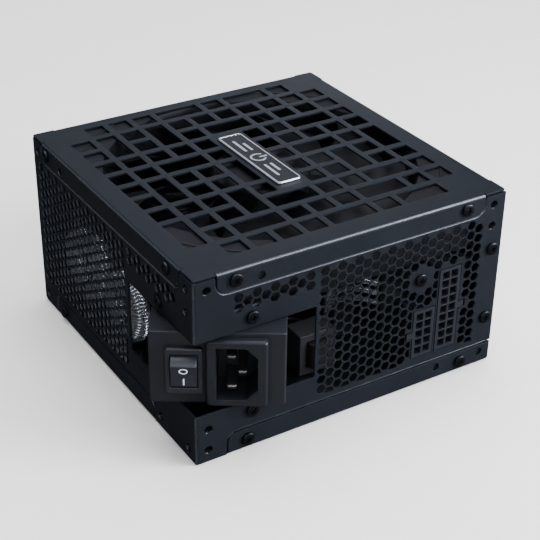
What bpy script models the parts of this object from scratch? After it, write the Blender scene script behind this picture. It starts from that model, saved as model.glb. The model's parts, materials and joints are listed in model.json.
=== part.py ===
"""ATX power supply unit with a turning mains inlet, built piece by piece.

The origin is the centre of the underside. The wall with the lead sockets faces -Y, the
vented wall beside it faces -X, and the fan looks up. All values are in metres.
"""

import math

import bmesh
import bpy
from mathutils import Matrix, Vector

MM = 0.001

# Overall box and sheet metal
WIDTH = 150 * MM
DEPTH = 150 * MM
HEIGHT = 86 * MM
SHEET = 1.0 * MM
GAP = 0.3 * MM
BEND = 1.6 * MM
EDGE_STEP = 0.2 * MM

# Cover flanges, which hang over the walls, and the lips behind them
FLANGE_DROP = 9.0 * MM
FLANGE_RADIUS = 4.5 * MM
TOP_FLANGE_ENDS = (10.5 * MM, 11.0 * MM)
BASE_FLANGE_DROP = 10.0 * MM
LIP_END = 16.0 * MM
JOGGLE = 1.4 * MM

# Vent holes: six-sided, in staggered columns
HEX_PITCH = 11.8 * MM
HEX_WEB = 1.9 * MM
VENT_TOP = 11.0 * MM
VENT_BASE = 13.0 * MM
STRIP_HEIGHT = 8.3 * MM

# Grille in the top cover, row by row from the back to the front.
# o is an opening, > is joined to the next on its right, v to the next in front, . is solid.
GRILLE = (
    ".ooo>oo>oo.",
    "ovovooooooo",
    "ooooo>ooooo",
    "ooooo.oo>oo",
    "oo>oo.ooooo",
    "ovoov.o>oov",
    "ooooo.oovoo",
    "ooovo.ooooo",
    "vooo>ooo>oo",
    "oo>oooo>ooo",
    ".oooo>oo>o.",
)
BAR_X = 3.0 * MM
BAR_Y = 3.2 * MM
GRILLE_SIDE = 10.45 * MM
GRILLE_BACK = 6.7 * MM
GRILLE_FRONT = 10.5 * MM

# Badge
BADGE_WIDTH = 12.0 * MM
BADGE_LENGTH = 52.0 * MM
BADGE_THICK = 0.8 * MM
BADGE_BORDER = 2.4 * MM

# Fasteners
SCREW_HEAD_R = 2.9 * MM
SCREW_HEAD_H = 1.3 * MM
SCREW_SHANK_R = 1.5 * MM
SCREW_LENGTH = 3.4 * MM
SCREW_CLEARANCE = 0.4 * MM
MOUNT_HOLE_R = 1.9 * MM

# Fan
FAN_MARGIN = 5.0 * MM
FAN_HEIGHT = 25.0 * MM
FAN_WALL = 3.0 * MM
FAN_HOLE_INSET = 7.75 * MM
FAN_BLADES = 9
HUB_R = 22.0 * MM
HUB_WALL = 2.0 * MM
SHAFT_R = 1.6 * MM

# Inlet block, which turns round an upright pin
PLATE_WIDTH = 54.0 * MM
PIVOT = PLATE_WIDTH / 2 + 0.8 * MM
PLATE_REACH = PIVOT + 0.2 * MM
BLOCK_LOW = 24.0 * MM
BLOCK_HEIGHT = 33.4 * MM
BLOCK_BACK = 8.0 * MM
BLOCK_WALL = 2.0 * MM
BLOCK_CLEARANCE = 0.4 * MM
REAR_COVER = 1.5 * MM
PIVOT_PIN_R = 3.0 * MM
REST_TURN = math.radians(-32.7)

# Mains socket in the block
INLET_X = 7.65 * MM
INLET_DROP = 0.7 * MM
INLET_FLANGE = (24.5 * MM, 31.0 * MM)
INLET_BODY = (20.0 * MM, 26.8 * MM)
INLET_WELL = (16.0 * MM, 23.8 * MM)
INLET_PROUD = 3.5 * MM
INLET_BODY_DEPTH = 18.0 * MM
WELL_DEPTH = 16.5 * MM
WELL_CHAMFER = 4.5 * MM
PIN_WIDTH = 4.0 * MM
PIN_THICK = 2.0 * MM
PIN_SPACING = 14.0 * MM
LIVE_PIN_X = -2.1 * MM
EARTH_PIN_X = 2.2 * MM

# Rocker switch in the block
SWITCH_X = -13.1 * MM
SWITCH_DROP = 0.6 * MM
BEZEL = (15.0 * MM, 21.5 * MM)
BEZEL_PROUD = 2.0 * MM
SWITCH_BODY = (13.0 * MM, 19.4 * MM)
SWITCH_BODY_DEPTH = 15.0 * MM
ROCKER_WIDTH = 10.4 * MM
ROCKER_R = 7.5 * MM
ROCKER_SINK = 3.0 * MM
ROCKER_HALF = math.radians(46)
ROCKER_TILT = math.radians(12)
AXLE_R = 1.2 * MM

# Lead sockets
CELL = 3.4 * MM
CELL_PITCH = 4.2 * MM
COLUMN_PITCH = 4.5 * MM
SOCKET_WALL = 1.6 * MM
SOCKET_DEPTH = 11.0 * MM
LATCH = (3.0 * MM, 3.0 * MM)
BOARD = 1.6 * MM
BOARD_LEVEL = 6.0 * MM
BOARD_MARGIN = 3.4 * MM

# Electrical parts on the main board
PRIMARY_X = 28.0 * MM
PRIMARY_FIN = 8.0 * MM
SECONDARY_FIN = 9.0 * MM
HEATSINK_BASE = 2.5 * MM
BULK_CAN_R = 15.0 * MM
OUTPUT_CAN_R = 5.0 * MM
TRANSFORMER = (26.0 * MM, 34.0 * MM, 34.0 * MM)
STANDBY = (18.0 * MM, 20.0 * MM, 20.0 * MM)

COVER_BOTTOM = HEIGHT - SHEET
CASING_TOP = HEIGHT - SHEET - GAP
CASING_LOW = SHEET + GAP
BLOCK_TOP = BLOCK_LOW + BLOCK_HEIGHT
BLOCK_MIDDLE = BLOCK_LOW + BLOCK_HEIGHT / 2
FAN_TOP = CASING_TOP
FAN_LOW = FAN_TOP - FAN_HEIGHT
PART_LEVEL = BOARD_LEVEL + BOARD + GAP

# Local axes: a section drawn in (inward, up) and drawn out along the wall, and an
# outline drawn on the wall, seen from outside, and drawn out through it.
ALONG = Matrix(((0, 0, 1, 0), (1, 0, 0, 0), (0, 1, 0, 0), (0, 0, 0, 1)))
THROUGH = Matrix(((1, 0, 0, 0), (0, 0, -1, 0), (0, 1, 0, 0), (0, 0, 0, 1)))


def clear_scene():
    for item in list(bpy.data.objects):
        bpy.data.objects.remove(item, do_unlink=True)


def surface(name, colour, roughness, metallic=0.0):
    material = bpy.data.materials.new(name)
    material.use_nodes = True
    shader = material.node_tree.nodes["Principled BSDF"]
    shader.inputs["Base Color"].default_value = (*colour, 1.0)
    shader.inputs["Roughness"].default_value = roughness
    shader.inputs["Metallic"].default_value = metallic
    return material


def add_object(name, shape, material=None, parent=None, tilt=0.0):
    bmesh.ops.recalc_face_normals(shape, faces=shape.faces)
    mesh = bpy.data.meshes.new(name)
    shape.to_mesh(mesh)
    shape.free()
    item = bpy.data.objects.new(name, mesh)
    bpy.context.scene.collection.objects.link(item)
    item.rotation_euler.x = tilt
    item.parent = parent
    if material is not None:
        mesh.materials.append(material)
    return item


def add_cutter(name, shape, parent=None):
    item = add_object(name, shape, parent=parent)
    item.hide_render = True
    item.display_type = "WIRE"
    return item


def combine(target, tool, operation="DIFFERENCE"):
    modifier = target.modifiers.new(tool.name, "BOOLEAN")
    modifier.operation = operation
    modifier.solver = "EXACT"
    modifier.object = tool


def add_empty(name, location, turn=0.0, parent=None):
    empty = bpy.data.objects.new(name, None)
    bpy.context.scene.collection.objects.link(empty)
    empty.location = location
    empty.rotation_euler.z = turn
    empty.parent = parent
    return empty


def prism(shape, outline, low, high, place=Matrix()):
    """Straight solid on a flat outline, from low to high along the local Z."""
    bottom = [shape.verts.new(place @ Vector((x, y, low))) for x, y in outline]
    top = [shape.verts.new(place @ Vector((x, y, high))) for x, y in outline]
    shape.faces.new(bottom[::-1])
    shape.faces.new(top)
    for index, lower in enumerate(bottom):
        after = (index + 1) % len(bottom)
        shape.faces.new((lower, bottom[after], top[after], top[index]))


def box(shape, low, high, place=Matrix()):
    prism(shape, rectangle(low[0], low[1], high[0], high[1]), low[2], high[2], place)


def ring(radius, count, centre=(0, 0)):
    angles = [2 * math.pi * step / count for step in range(count)]
    return [(centre[0] + radius * math.cos(a), centre[1] + radius * math.sin(a)) for a in angles]


def rectangle(x0, y0, x1, y1):
    return [(x0, y0), (x1, y0), (x1, y1), (x0, y1)]


def rounded(x0, y0, x1, y1, radii, steps=3):
    """Rectangle with its own radius at each corner, from the lower left, anticlockwise."""
    corners = ((x0, y0, 1, 1, 180), (x1, y0, -1, 1, 270), (x1, y1, -1, -1, 0), (x0, y1, 1, -1, 90))
    points = []
    for (x, y, inward_x, inward_y, start), radius in zip(corners, radii):
        if radius == 0:
            points.append((x, y))
            continue
        for step in range(steps + 1):
            angle = math.radians(start + 90 * step / steps)
            centre_x = x + inward_x * radius
            centre_y = y + inward_y * radius
            points.append((centre_x + radius * math.cos(angle), centre_y + radius * math.sin(angle)))
    return points


def centred(width, height, centre=(0, 0), radius=0.0):
    half_w = width / 2
    half_h = height / 2
    x, y = centre
    return rounded(x - half_w, y - half_h, x + half_w, y + half_h, (radius,) * 4)


def lathe(shape, profile, count, place=Matrix(), closed=True):
    """Turned solid. The profile is (radius, level); a radius of 0 is a point on the axis."""
    rings = []
    for radius, level in profile:
        if radius == 0:
            rings.append([shape.verts.new(place @ Vector((0, 0, level)))])
        else:
            rings.append([shape.verts.new(place @ Vector((x, y, level))) for x, y in ring(radius, count)])
    pairs = list(zip(rings, rings[1:]))
    if closed:
        pairs.append((rings[-1], rings[0]))
    for first, second in pairs:
        for index in range(count):
            after = (index + 1) % count
            corners = [first[index % len(first)], first[after % len(first)],
                       second[after % len(second)], second[index % len(second)]]
            unique = list(dict.fromkeys(corners))
            if len(unique) > 2:
                shape.faces.new(unique)


def wall_frame(side):
    """Local frame of a wall seen from outside: X to the right, Y inward, Z up."""
    half_x = WIDTH / 2
    half_y = DEPTH / 2
    corner, turn = {
        "front": ((-half_x, -half_y), 0),
        "right": ((half_x, -half_y), 90),
        "back": ((half_x, half_y), 180),
        "left": ((-half_x, half_y), 270),
    }[side]
    return Matrix.Translation((*corner, 0)) @ Matrix.Rotation(math.radians(turn), 4, "Z")


def wall_length(side):
    return WIDTH if side in ("front", "back") else DEPTH


def inside(x, y, z=0.0):
    """A place measured from the near left corner of the base."""
    return Vector((x - WIDTH / 2, y - DEPTH / 2, z))


def top_flange_span(side):
    return TOP_FLANGE_ENDS[0], wall_length(side) - TOP_FLANGE_ENDS[1]


def base_flange_span(side):
    length = wall_length(side)
    return {
        "front": (15.0 * MM, length - EDGE_STEP),
        "left": (16.0 * MM, length - 36.0 * MM),
        "back": (15.0 * MM, length - 15.0 * MM),
        "right": (15.0 * MM, length - 15.0 * MM),
    }[side]


def top_flange(side, grow=0.0, reach=0.0):
    start, end = top_flange_span(side)
    radius = FLANGE_RADIUS + grow
    low = HEIGHT - FLANGE_DROP - grow
    return rounded(start - grow, low, end + grow, HEIGHT - EDGE_STEP + reach, (radius, radius, 0, 0))


def base_flange(side, grow=0.0, reach=0.0):
    start, end = base_flange_span(side)
    radius = FLANGE_RADIUS + grow
    right = radius if end < wall_length(side) - LIP_END / 2 else 0
    stretch = 0 if right else reach
    high = BASE_FLANGE_DROP + grow
    return rounded(start - grow, EDGE_STEP - reach, end + grow + stretch, high, (0, 0, right, radius))


def lip(shape, side, span, upper):
    """Sheet set back behind a flange, with a joggle up to the wall."""
    drop = FLANGE_DROP if upper else BASE_FLANGE_DROP
    reach = drop + GAP + JOGGLE
    depth = [(SHEET / 2, reach), (2 * SHEET + GAP, reach), (2 * SHEET + GAP, SHEET + 2 * GAP),
             (SHEET + GAP, SHEET + 2 * GAP), (SHEET + GAP, reach - SHEET), (SHEET / 2, reach - SHEET)]
    section = [(inward, HEIGHT - down if upper else down) for inward, down in depth]
    length = wall_length(side)
    start = max(span[0] - 2 * MM, 8 * MM)
    end = min(span[1] + 2 * MM, length - 8 * MM)
    prism(shape, section, start, end, wall_frame(side) @ ALONG)


# Fastener places on each wall: distance from its left end and height
def casing_screws():
    bracket_high = BLOCK_TOP + 5.3 * MM
    bracket_low = BLOCK_LOW - 5.5 * MM
    panel_line = wall_length("front") - 5.0 * MM
    pivot_line = wall_length("left") - PIVOT - 0.7 * MM
    bracket_line = PIVOT - 1.8 * MM
    return {
        "front": (
            (18.5 * MM, HEIGHT - 4.5 * MM), (WIDTH - 20.5 * MM, HEIGHT - 4.5 * MM),
            (24.0 * MM, 5.0 * MM), (WIDTH - 17.0 * MM, 5.0 * MM),
            (bracket_line, bracket_high), (bracket_line, bracket_low),
            (BOSS_X, BOSS_Z),
            (panel_line, 59.0 * MM), (panel_line, 24.5 * MM),
        ),
        "left": (
            (15.5 * MM, HEIGHT - 4.5 * MM), (DEPTH - 21.0 * MM, HEIGHT - 4.5 * MM),
            (24.0 * MM, 5.0 * MM),
            (pivot_line, bracket_high), (pivot_line, bracket_low),
        ),
        "back": (
            (5.0 * MM, 59.0 * MM), (5.0 * MM, 24.5 * MM),
        ),
    }


def mount_holes(side):
    """Standard case mounting holes of an ATX unit, in both ways round."""
    length = wall_length(side)
    low = 6.0 * MM
    high = HEIGHT - 6.0 * MM
    return ((6 * MM, high), (length - 6 * MM, high), (length - 6 * MM, high - 10 * MM),
            (30 * MM, high), (6 * MM, low + 10 * MM), (6 * MM, low),
            (length - 30 * MM, low), (length - 6 * MM, low))


# Lead sockets: name, wall, centre along the wall, centre height, columns, rows, latch side
BOSS_X = WIDTH - 42.5 * MM
BOSS_Z = 54.5 * MM
FRONT_SOCKETS = (
    ("socket_10_pin", "front", WIDTH - 39.0 * MM, 27.3 * MM, 2, 5, "left"),
    ("socket_18_pin", "front", WIDTH - 26.5 * MM, 35.7 * MM, 2, 9, "right"),
)
SIDE_SOCKET_STEP = 24.0 * MM
SIDE_SOCKETS = tuple(
    (f"side_socket_{index + 1}", "right", DEPTH / 2 + (index - 2) * SIDE_SOCKET_STEP, 38.0 * MM, 4, 2, "top")
    for index in range(5)
)


def socket_size(columns, rows):
    across = COLUMN_PITCH if columns == 2 else CELL_PITCH
    up = CELL_PITCH if columns == 2 else COLUMN_PITCH
    width = (columns - 1) * across + CELL + 2 * SOCKET_WALL
    height = (rows - 1) * up + CELL + 2 * SOCKET_WALL
    return width, height, across, up


def socket_outline(socket, grow=0.0):
    """Rectangle with the latch bump on one side."""
    _, _, x, z, columns, rows, latch = socket
    width, height, _, _ = socket_size(columns, rows)
    half_w = width / 2 + grow
    half_h = height / 2 + grow
    reach = LATCH[0] + 2 * grow
    half = LATCH[1] / 2 + grow
    corners = [(-half_w, -half_h), (half_w, -half_h), (half_w, half_h), (-half_w, half_h)]
    if latch == "right":
        corners[2:2] = [(half_w, -half), (half_w + reach, -half), (half_w + reach, half), (half_w, half)]
    elif latch == "top":
        corners[3:3] = [(half, half_h), (half, half_h + reach), (-half, half_h + reach), (-half, half_h)]
    else:
        corners += [(-half_w, half), (-half_w - reach, half), (-half_w - reach, -half), (-half_w, -half)]
    return [(x + dx, z + dz) for dx, dz in corners]


def hex_places(low, high, blocked=()):
    """Centres of staggered hexagons inside a rectangle, clear of blocked rectangles."""
    step = HEX_PITCH * math.sqrt(3) / 2
    across = HEX_PITCH - HEX_WEB
    radius = across / math.sqrt(3)
    columns = int((high[0] - low[0] - 2 * radius) / step + 1e-6) + 1
    start = (low[0] + high[0] - (columns - 1) * step) / 2
    places = []
    for column in range(columns):
        x = start + column * step
        z = high[1] - across / 2 - (HEX_PITCH / 2 if column % 2 else 0)
        while z - across / 2 > low[1] - 1e-7:
            hit = any(x0 - radius < x < x1 + radius and z0 - across / 2 < z < z1 + across / 2
                      for x0, z0, x1, z1 in blocked)
            if not hit:
                places.append((x, z))
            z -= HEX_PITCH
    return places


def vent_fields():
    """Hexagon centres on each vented wall."""
    top = HEIGHT - VENT_TOP
    low = VENT_BASE
    strip = top - STRIP_HEIGHT
    edge = HEX_WEB
    blocked = [(BOSS_X - 4.5 * MM, BOSS_Z - 4.5 * MM, BOSS_X + 4.5 * MM, BOSS_Z + 4.5 * MM)]
    for socket in FRONT_SOCKETS:
        outline = socket_outline(socket)
        xs = [x for x, _ in outline]
        zs = [z for _, z in outline]
        blocked.append((min(xs) - edge, min(zs) - edge, max(xs) + edge, max(zs) + edge))
    notch = PIVOT + PLATE_REACH
    front = hex_places((notch + 1.2 * MM, low), (WIDTH - 11.0 * MM, top), blocked)
    front += hex_places((16.0 * MM, strip), (notch + 1.0 * MM, top))
    left = hex_places((5.0 * MM, low), (DEPTH - notch - 2.0 * MM, top))
    left += hex_places((DEPTH - notch - 1.0 * MM, strip), (DEPTH - 13.0 * MM, top))
    return {"front": front, "left": left}


def screw_holes(shape, side, places, through=4.0 * MM):
    for x, z in places:
        circle = ring(SCREW_SHANK_R + SCREW_CLEARANCE, 12, (x, z))
        prism(shape, circle, -through, 1 * MM, wall_frame(side) @ THROUGH)


def build_hole_cutter():
    """One set of fastener and mounting holes, used by every sheet it passes through."""
    shape = bmesh.new()
    for side, places in casing_screws().items():
        screw_holes(shape, side, places)
    for side in ("front", "left"):
        for x, z in mount_holes(side):
            circle = ring(MOUNT_HOLE_R, 12, (x, z))
            prism(shape, circle, -4 * MM, 1 * MM, wall_frame(side) @ THROUGH)
    return add_cutter("sheet_holes", shape)


def build_side_casing(steel, holes):
    half_x = WIDTH / 2
    half_y = DEPTH / 2
    outline = [(half_x, -half_y), (half_x, -half_y + SHEET), (-half_x + SHEET, -half_y + SHEET),
               (-half_x + SHEET, half_y - SHEET), (half_x, half_y - SHEET), (half_x, half_y)]
    for corner_y, start in ((half_y - BEND, 90), (-half_y + BEND, 180)):
        for step in range(4):
            angle = math.radians(start + 30 * step)
            x = -half_x + BEND + BEND * math.cos(angle)
            outline.append((x, corner_y + BEND * math.sin(angle)))
    shape = bmesh.new()
    prism(shape, outline, CASING_LOW, CASING_TOP)
    casing = add_object("side_casing", shape, steel)

    cuts = bmesh.new()
    for side in ("front", "left", "back"):
        frame = wall_frame(side) @ THROUGH
        prism(cuts, top_flange(side, GAP, 2 * MM), -2 * MM, 1 * MM, frame)
        prism(cuts, base_flange(side, GAP, 2 * MM), -2 * MM, 1 * MM, frame)
    for side, places in vent_fields().items():
        radius = (HEX_PITCH - HEX_WEB) / math.sqrt(3)
        for place in places:
            prism(cuts, ring(radius, 6, place), -2 * MM, 1 * MM, wall_frame(side) @ THROUGH)
    for socket in FRONT_SOCKETS:
        prism(cuts, socket_outline(socket, GAP), -2 * MM, 1 * MM, wall_frame("front") @ THROUGH)
    notch = PIVOT + PLATE_REACH
    box(cuts, inside(-3 * MM, -3 * MM, BLOCK_LOW - BLOCK_CLEARANCE),
        inside(notch, notch, BLOCK_TOP + BLOCK_CLEARANCE))
    combine(casing, add_cutter("casing_cuts", cuts))

    lips = bmesh.new()
    for side in ("front", "left", "back"):
        lip(lips, side, top_flange_span(side), True)
        lip(lips, side, base_flange_span(side), False)
    combine(casing, add_cutter("casing_lips", lips), "UNION")
    combine(casing, holes)
    return casing


def grille_cells():
    """Openings of the grille as rectangles, joined where the drawing says so."""
    count = len(GRILLE)
    step_x = (WIDTH - 2 * GRILLE_SIDE + BAR_X) / count
    step_y = (DEPTH - GRILLE_BACK - GRILLE_FRONT + BAR_Y) / count
    left = -WIDTH / 2 + GRILLE_SIDE
    back = DEPTH / 2 - GRILLE_BACK
    keep = BADGE_WIDTH / 2 + BADGE_BORDER
    cells = []
    taken = set()
    for row, line in enumerate(GRILLE):
        for column, mark in enumerate(line):
            if mark == "." or (row, column) in taken:
                continue
            wide = 2 if mark == ">" else 1
            tall = 2 if mark == "v" else 1
            taken.update({(row + tall - 1, column), (row, column + wide - 1)})
            x0 = left + column * step_x
            x1 = x0 + wide * step_x - BAR_X
            y1 = back - row * step_y
            y0 = y1 - tall * step_y + BAR_Y
            if "." in line[3:8]:
                x1 = min(x1, -keep) if x0 < -keep else x1
                x0 = max(x0, keep) if x1 > keep else x0
            cells.append((x0, y0, x1, y1))
    return cells


def build_top_cover(steel, holes):
    half_x = WIDTH / 2 - EDGE_STEP
    half_y = DEPTH / 2 - EDGE_STEP
    shape = bmesh.new()
    prism(shape, rounded(-half_x, -half_y, half_x, half_y, (BEND,) * 4), COVER_BOTTOM, HEIGHT)
    cover = add_object("top_cover", shape, steel)
    flanges = bmesh.new()
    for side in ("front", "right", "back", "left"):
        prism(flanges, top_flange(side), -SHEET, 0, wall_frame(side) @ THROUGH)
    combine(cover, add_cutter("top_flanges", flanges), "UNION")
    collars = bmesh.new()
    for x, y in fan_screw_places():
        prism(collars, ring(3.2 * MM, 12, (x, y)), COVER_BOTTOM - 2 * MM, COVER_BOTTOM + SHEET / 2)
    combine(cover, add_cutter("fan_collars", collars), "UNION")
    cuts = bmesh.new()
    for x0, y0, x1, y1 in grille_cells():
        prism(cuts, rectangle(x0, y0, x1, y1), COVER_BOTTOM - 1 * MM, HEIGHT + 1 * MM)
    for place in fan_screw_places():
        hole = ring(SCREW_SHANK_R + SCREW_CLEARANCE, 12, place)
        prism(cuts, hole, COVER_BOTTOM - 3 * MM, COVER_BOTTOM + SHEET / 4)
    combine(cover, add_cutter("grille_cuts", cuts))
    combine(cover, holes)
    return cover


def standoff_places():
    inset = 14.0 * MM
    return [(x * (WIDTH / 2 - inset), y * (DEPTH / 2 - inset)) for x in (-1, 1) for y in (-1, 1)]


def build_bottom_cover(steel, holes):
    half_x = WIDTH / 2 - EDGE_STEP
    half_y = DEPTH / 2 - EDGE_STEP
    shape = bmesh.new()
    prism(shape, rounded(-half_x, -half_y, half_x, half_y, (BEND,) * 4), 0, SHEET)
    cover = add_object("bottom_cover", shape, steel)
    extras = bmesh.new()
    for side in ("front", "right", "back", "left"):
        prism(extras, base_flange(side), -SHEET, 0, wall_frame(side) @ THROUGH)
    for place in standoff_places():
        prism(extras, ring(3.0 * MM, 12, place), SHEET / 2, BOARD_LEVEL - GAP)
    combine(cover, add_cutter("base_flanges", extras), "UNION")
    combine(cover, holes)
    return cover


def build_modular_panel(steel, holes):
    """Right wall: it slides in between the front and back walls on two bent tabs."""
    length = wall_length("right")
    frame = wall_frame("right")
    start = SHEET + GAP
    shape = bmesh.new()
    box(shape, (start + EDGE_STEP, 0, CASING_LOW), (length - start - EDGE_STEP, SHEET, CASING_TOP), frame)
    panel = add_object("modular_panel", shape, steel)
    cuts = bmesh.new()
    prism(cuts, top_flange("right", GAP, 2 * MM), -2 * MM, 1 * MM, frame @ THROUGH)
    prism(cuts, base_flange("right", GAP, 2 * MM), -2 * MM, 1 * MM, frame @ THROUGH)
    for socket in SIDE_SOCKETS:
        prism(cuts, socket_outline(socket, GAP), -2 * MM, 1 * MM, frame @ THROUGH)
    combine(panel, add_cutter("panel_cuts", cuts))
    extras = bmesh.new()
    lip(extras, "right", top_flange_span("right"), True)
    lip(extras, "right", base_flange_span("right"), False)
    for low_x, high_x in ((start, start + SHEET), (length - start - SHEET, length - start)):
        box(extras, (low_x, SHEET / 2, 17 * MM), (high_x, 10 * MM, 67 * MM), frame)
    combine(panel, add_cutter("panel_lips", extras), "UNION")
    combine(panel, holes)
    return panel


def build_badge(finish):
    shape = bmesh.new()
    low = HEIGHT + EDGE_STEP
    prism(shape, centred(BADGE_WIDTH, BADGE_LENGTH, grille_middle(), 1.5 * MM), low, low + BADGE_THICK)
    return add_object("badge_plate", shape, finish)


def grille_middle():
    return 0.0, (GRILLE_FRONT - GRILLE_BACK) / 2


def build_screw(name, finish, frame):
    """Pan head screw whose axis is the local Z, with its seat at the origin."""
    shape = bmesh.new()
    profile = [(0, SCREW_HEAD_H), (SCREW_HEAD_R * 0.7, SCREW_HEAD_H), (SCREW_HEAD_R, SCREW_HEAD_H * 0.4),
               (SCREW_HEAD_R, 0), (SCREW_SHANK_R, 0), (SCREW_SHANK_R, -SCREW_LENGTH), (0, -SCREW_LENGTH)]
    lathe(shape, profile, 10, frame, closed=False)
    return add_object(name, shape, finish)


def build_screws(finish):
    for side, places in casing_screws().items():
        for index, (x, z) in enumerate(places):
            lift = Matrix.Translation((x, z, EDGE_STEP))
            build_screw(f"{side}_screw_{index + 1}", finish, wall_frame(side) @ THROUGH @ lift)


# Fan
def fan_size():
    return min(WIDTH, DEPTH) - 2 * FAN_MARGIN


def fan_bore():
    return fan_size() / 2 - FAN_WALL


def fan_screw_places():
    reach = fan_size() / 2 - FAN_HOLE_INSET
    return [(x * reach, y * reach) for x in (-1, 1) for y in (-1, 1)]


def build_fan_frame(finish):
    size = fan_size()
    shape = bmesh.new()
    prism(shape, centred(size, size, radius=6 * MM), FAN_LOW, FAN_TOP)
    frame = add_object("fan_frame", shape, finish)
    cuts = bmesh.new()
    prism(cuts, ring(fan_bore(), 48), FAN_LOW - 1 * MM, FAN_TOP + 1 * MM)
    for place in fan_screw_places():
        prism(cuts, ring(SCREW_SHANK_R + SCREW_CLEARANCE, 12, place), FAN_LOW - 1 * MM, FAN_TOP + 1 * MM)
    combine(frame, add_cutter("fan_cuts", cuts))
    seats = bmesh.new()
    for place in fan_screw_places():
        prism(seats, ring(3.6 * MM, 12, place), FAN_TOP - 4 * MM, FAN_TOP + 1 * MM)
        prism(seats, ring(3.6 * MM, 12, place), FAN_LOW - 1 * MM, FAN_LOW + 2.5 * MM)
    combine(frame, add_cutter("fan_screw_seats", seats))
    for index, turn in enumerate((45, 135)):
        arm = bmesh.new()
        spin = Matrix.Rotation(math.radians(turn), 4, "Z")
        reach = fan_bore() + FAN_WALL / 2
        box(arm, (-reach, -3 * MM, FAN_LOW + 0.4 * MM), (reach, 3 * MM, FAN_LOW + 2.6 * MM), spin)
        combine(frame, add_cutter(f"fan_arm_{index + 1}", arm), "UNION")
    seat = bmesh.new()
    prism(seat, ring(HUB_R, 32), FAN_LOW + 0.2 * MM, FAN_LOW + 3.0 * MM)
    combine(frame, add_cutter("fan_seat", seat), "UNION")
    return frame


def build_fan_stator(finish):
    shape = bmesh.new()
    low = FAN_LOW + 3.0 * MM + GAP
    profile = [(SHAFT_R + GAP, low), (HUB_R * 0.78, low), (HUB_R * 0.78, low + 13 * MM),
               (SHAFT_R + GAP, low + 13 * MM)]
    lathe(shape, profile, 24)
    return add_object("fan_stator", shape, finish)


def build_fan_rotor(finish):
    low = FAN_LOW + 3.0 * MM + 2 * GAP
    high = FAN_TOP - 2.2 * MM
    roof = high - HUB_WALL
    profile = [(0, high), (HUB_R - 1.5 * MM, high), (HUB_R, high - 1.5 * MM), (HUB_R, low),
               (HUB_R - HUB_WALL, low), (HUB_R - HUB_WALL, roof), (SHAFT_R, roof), (SHAFT_R, low + 2 * MM),
               (0, low + 2 * MM)]
    shape = bmesh.new()
    lathe(shape, profile, 36, closed=False)
    rotor = add_object("fan_rotor", shape, finish)
    blades = bmesh.new()
    for index in range(FAN_BLADES):
        add_blade(blades, 2 * math.pi * index / FAN_BLADES, low + 2.5 * MM, high - 1.0 * MM)
    combine(rotor, add_cutter("fan_blades", blades), "UNION")
    return rotor


def add_blade(shape, start, low, high):
    """Swept, twisted blade from inside the hub wall to just short of the bore."""
    root = HUB_R - 0.8 * MM
    tip = fan_bore() - 1.5 * MM
    thick = 1.4 * MM
    spans = 4
    chords = 3
    rings = []
    for span in range(spans):
        part = span / (spans - 1)
        radius = root + part * (tip - root)
        chord = math.radians(34 - 4 * part)
        lead = start + math.radians(26) * part ** 1.4
        rise = (high - low) * (1.0 - 0.35 * part)
        upper = []
        lower = []
        for step in range(chords):
            across = step / (chords - 1)
            angle = lead - chord * across
            level = high - rise * (across + 0.18 * math.sin(math.pi * across))
            x = radius * math.cos(angle)
            y = radius * math.sin(angle)
            upper.append(shape.verts.new((x, y, level)))
            lower.append(shape.verts.new((x, y, level - thick)))
        rings.append(upper + lower[::-1])
    for first, second in zip(rings, rings[1:]):
        for index, vert in enumerate(first):
            after = (index + 1) % len(first)
            shape.faces.new((vert, first[after], second[after], second[index]))
    shape.faces.new(rings[0][::-1])
    shape.faces.new(rings[-1])


def build_fan_screws(finish):
    for index, (x, y) in enumerate(fan_screw_places()):
        shape = bmesh.new()
        seat = FAN_LOW + 2.5 * MM - EDGE_STEP
        profile = [(0, seat - SCREW_HEAD_H), (SCREW_HEAD_R * 0.8, seat - SCREW_HEAD_H), (SCREW_HEAD_R, seat),
                   (SCREW_SHANK_R, seat), (SCREW_SHANK_R, FAN_TOP), (0, FAN_TOP)]
        lathe(shape, profile, 10, Matrix.Translation((x, y, 0)), closed=False)
        add_object(f"fan_screw_{index + 1}", shape, finish)


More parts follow.
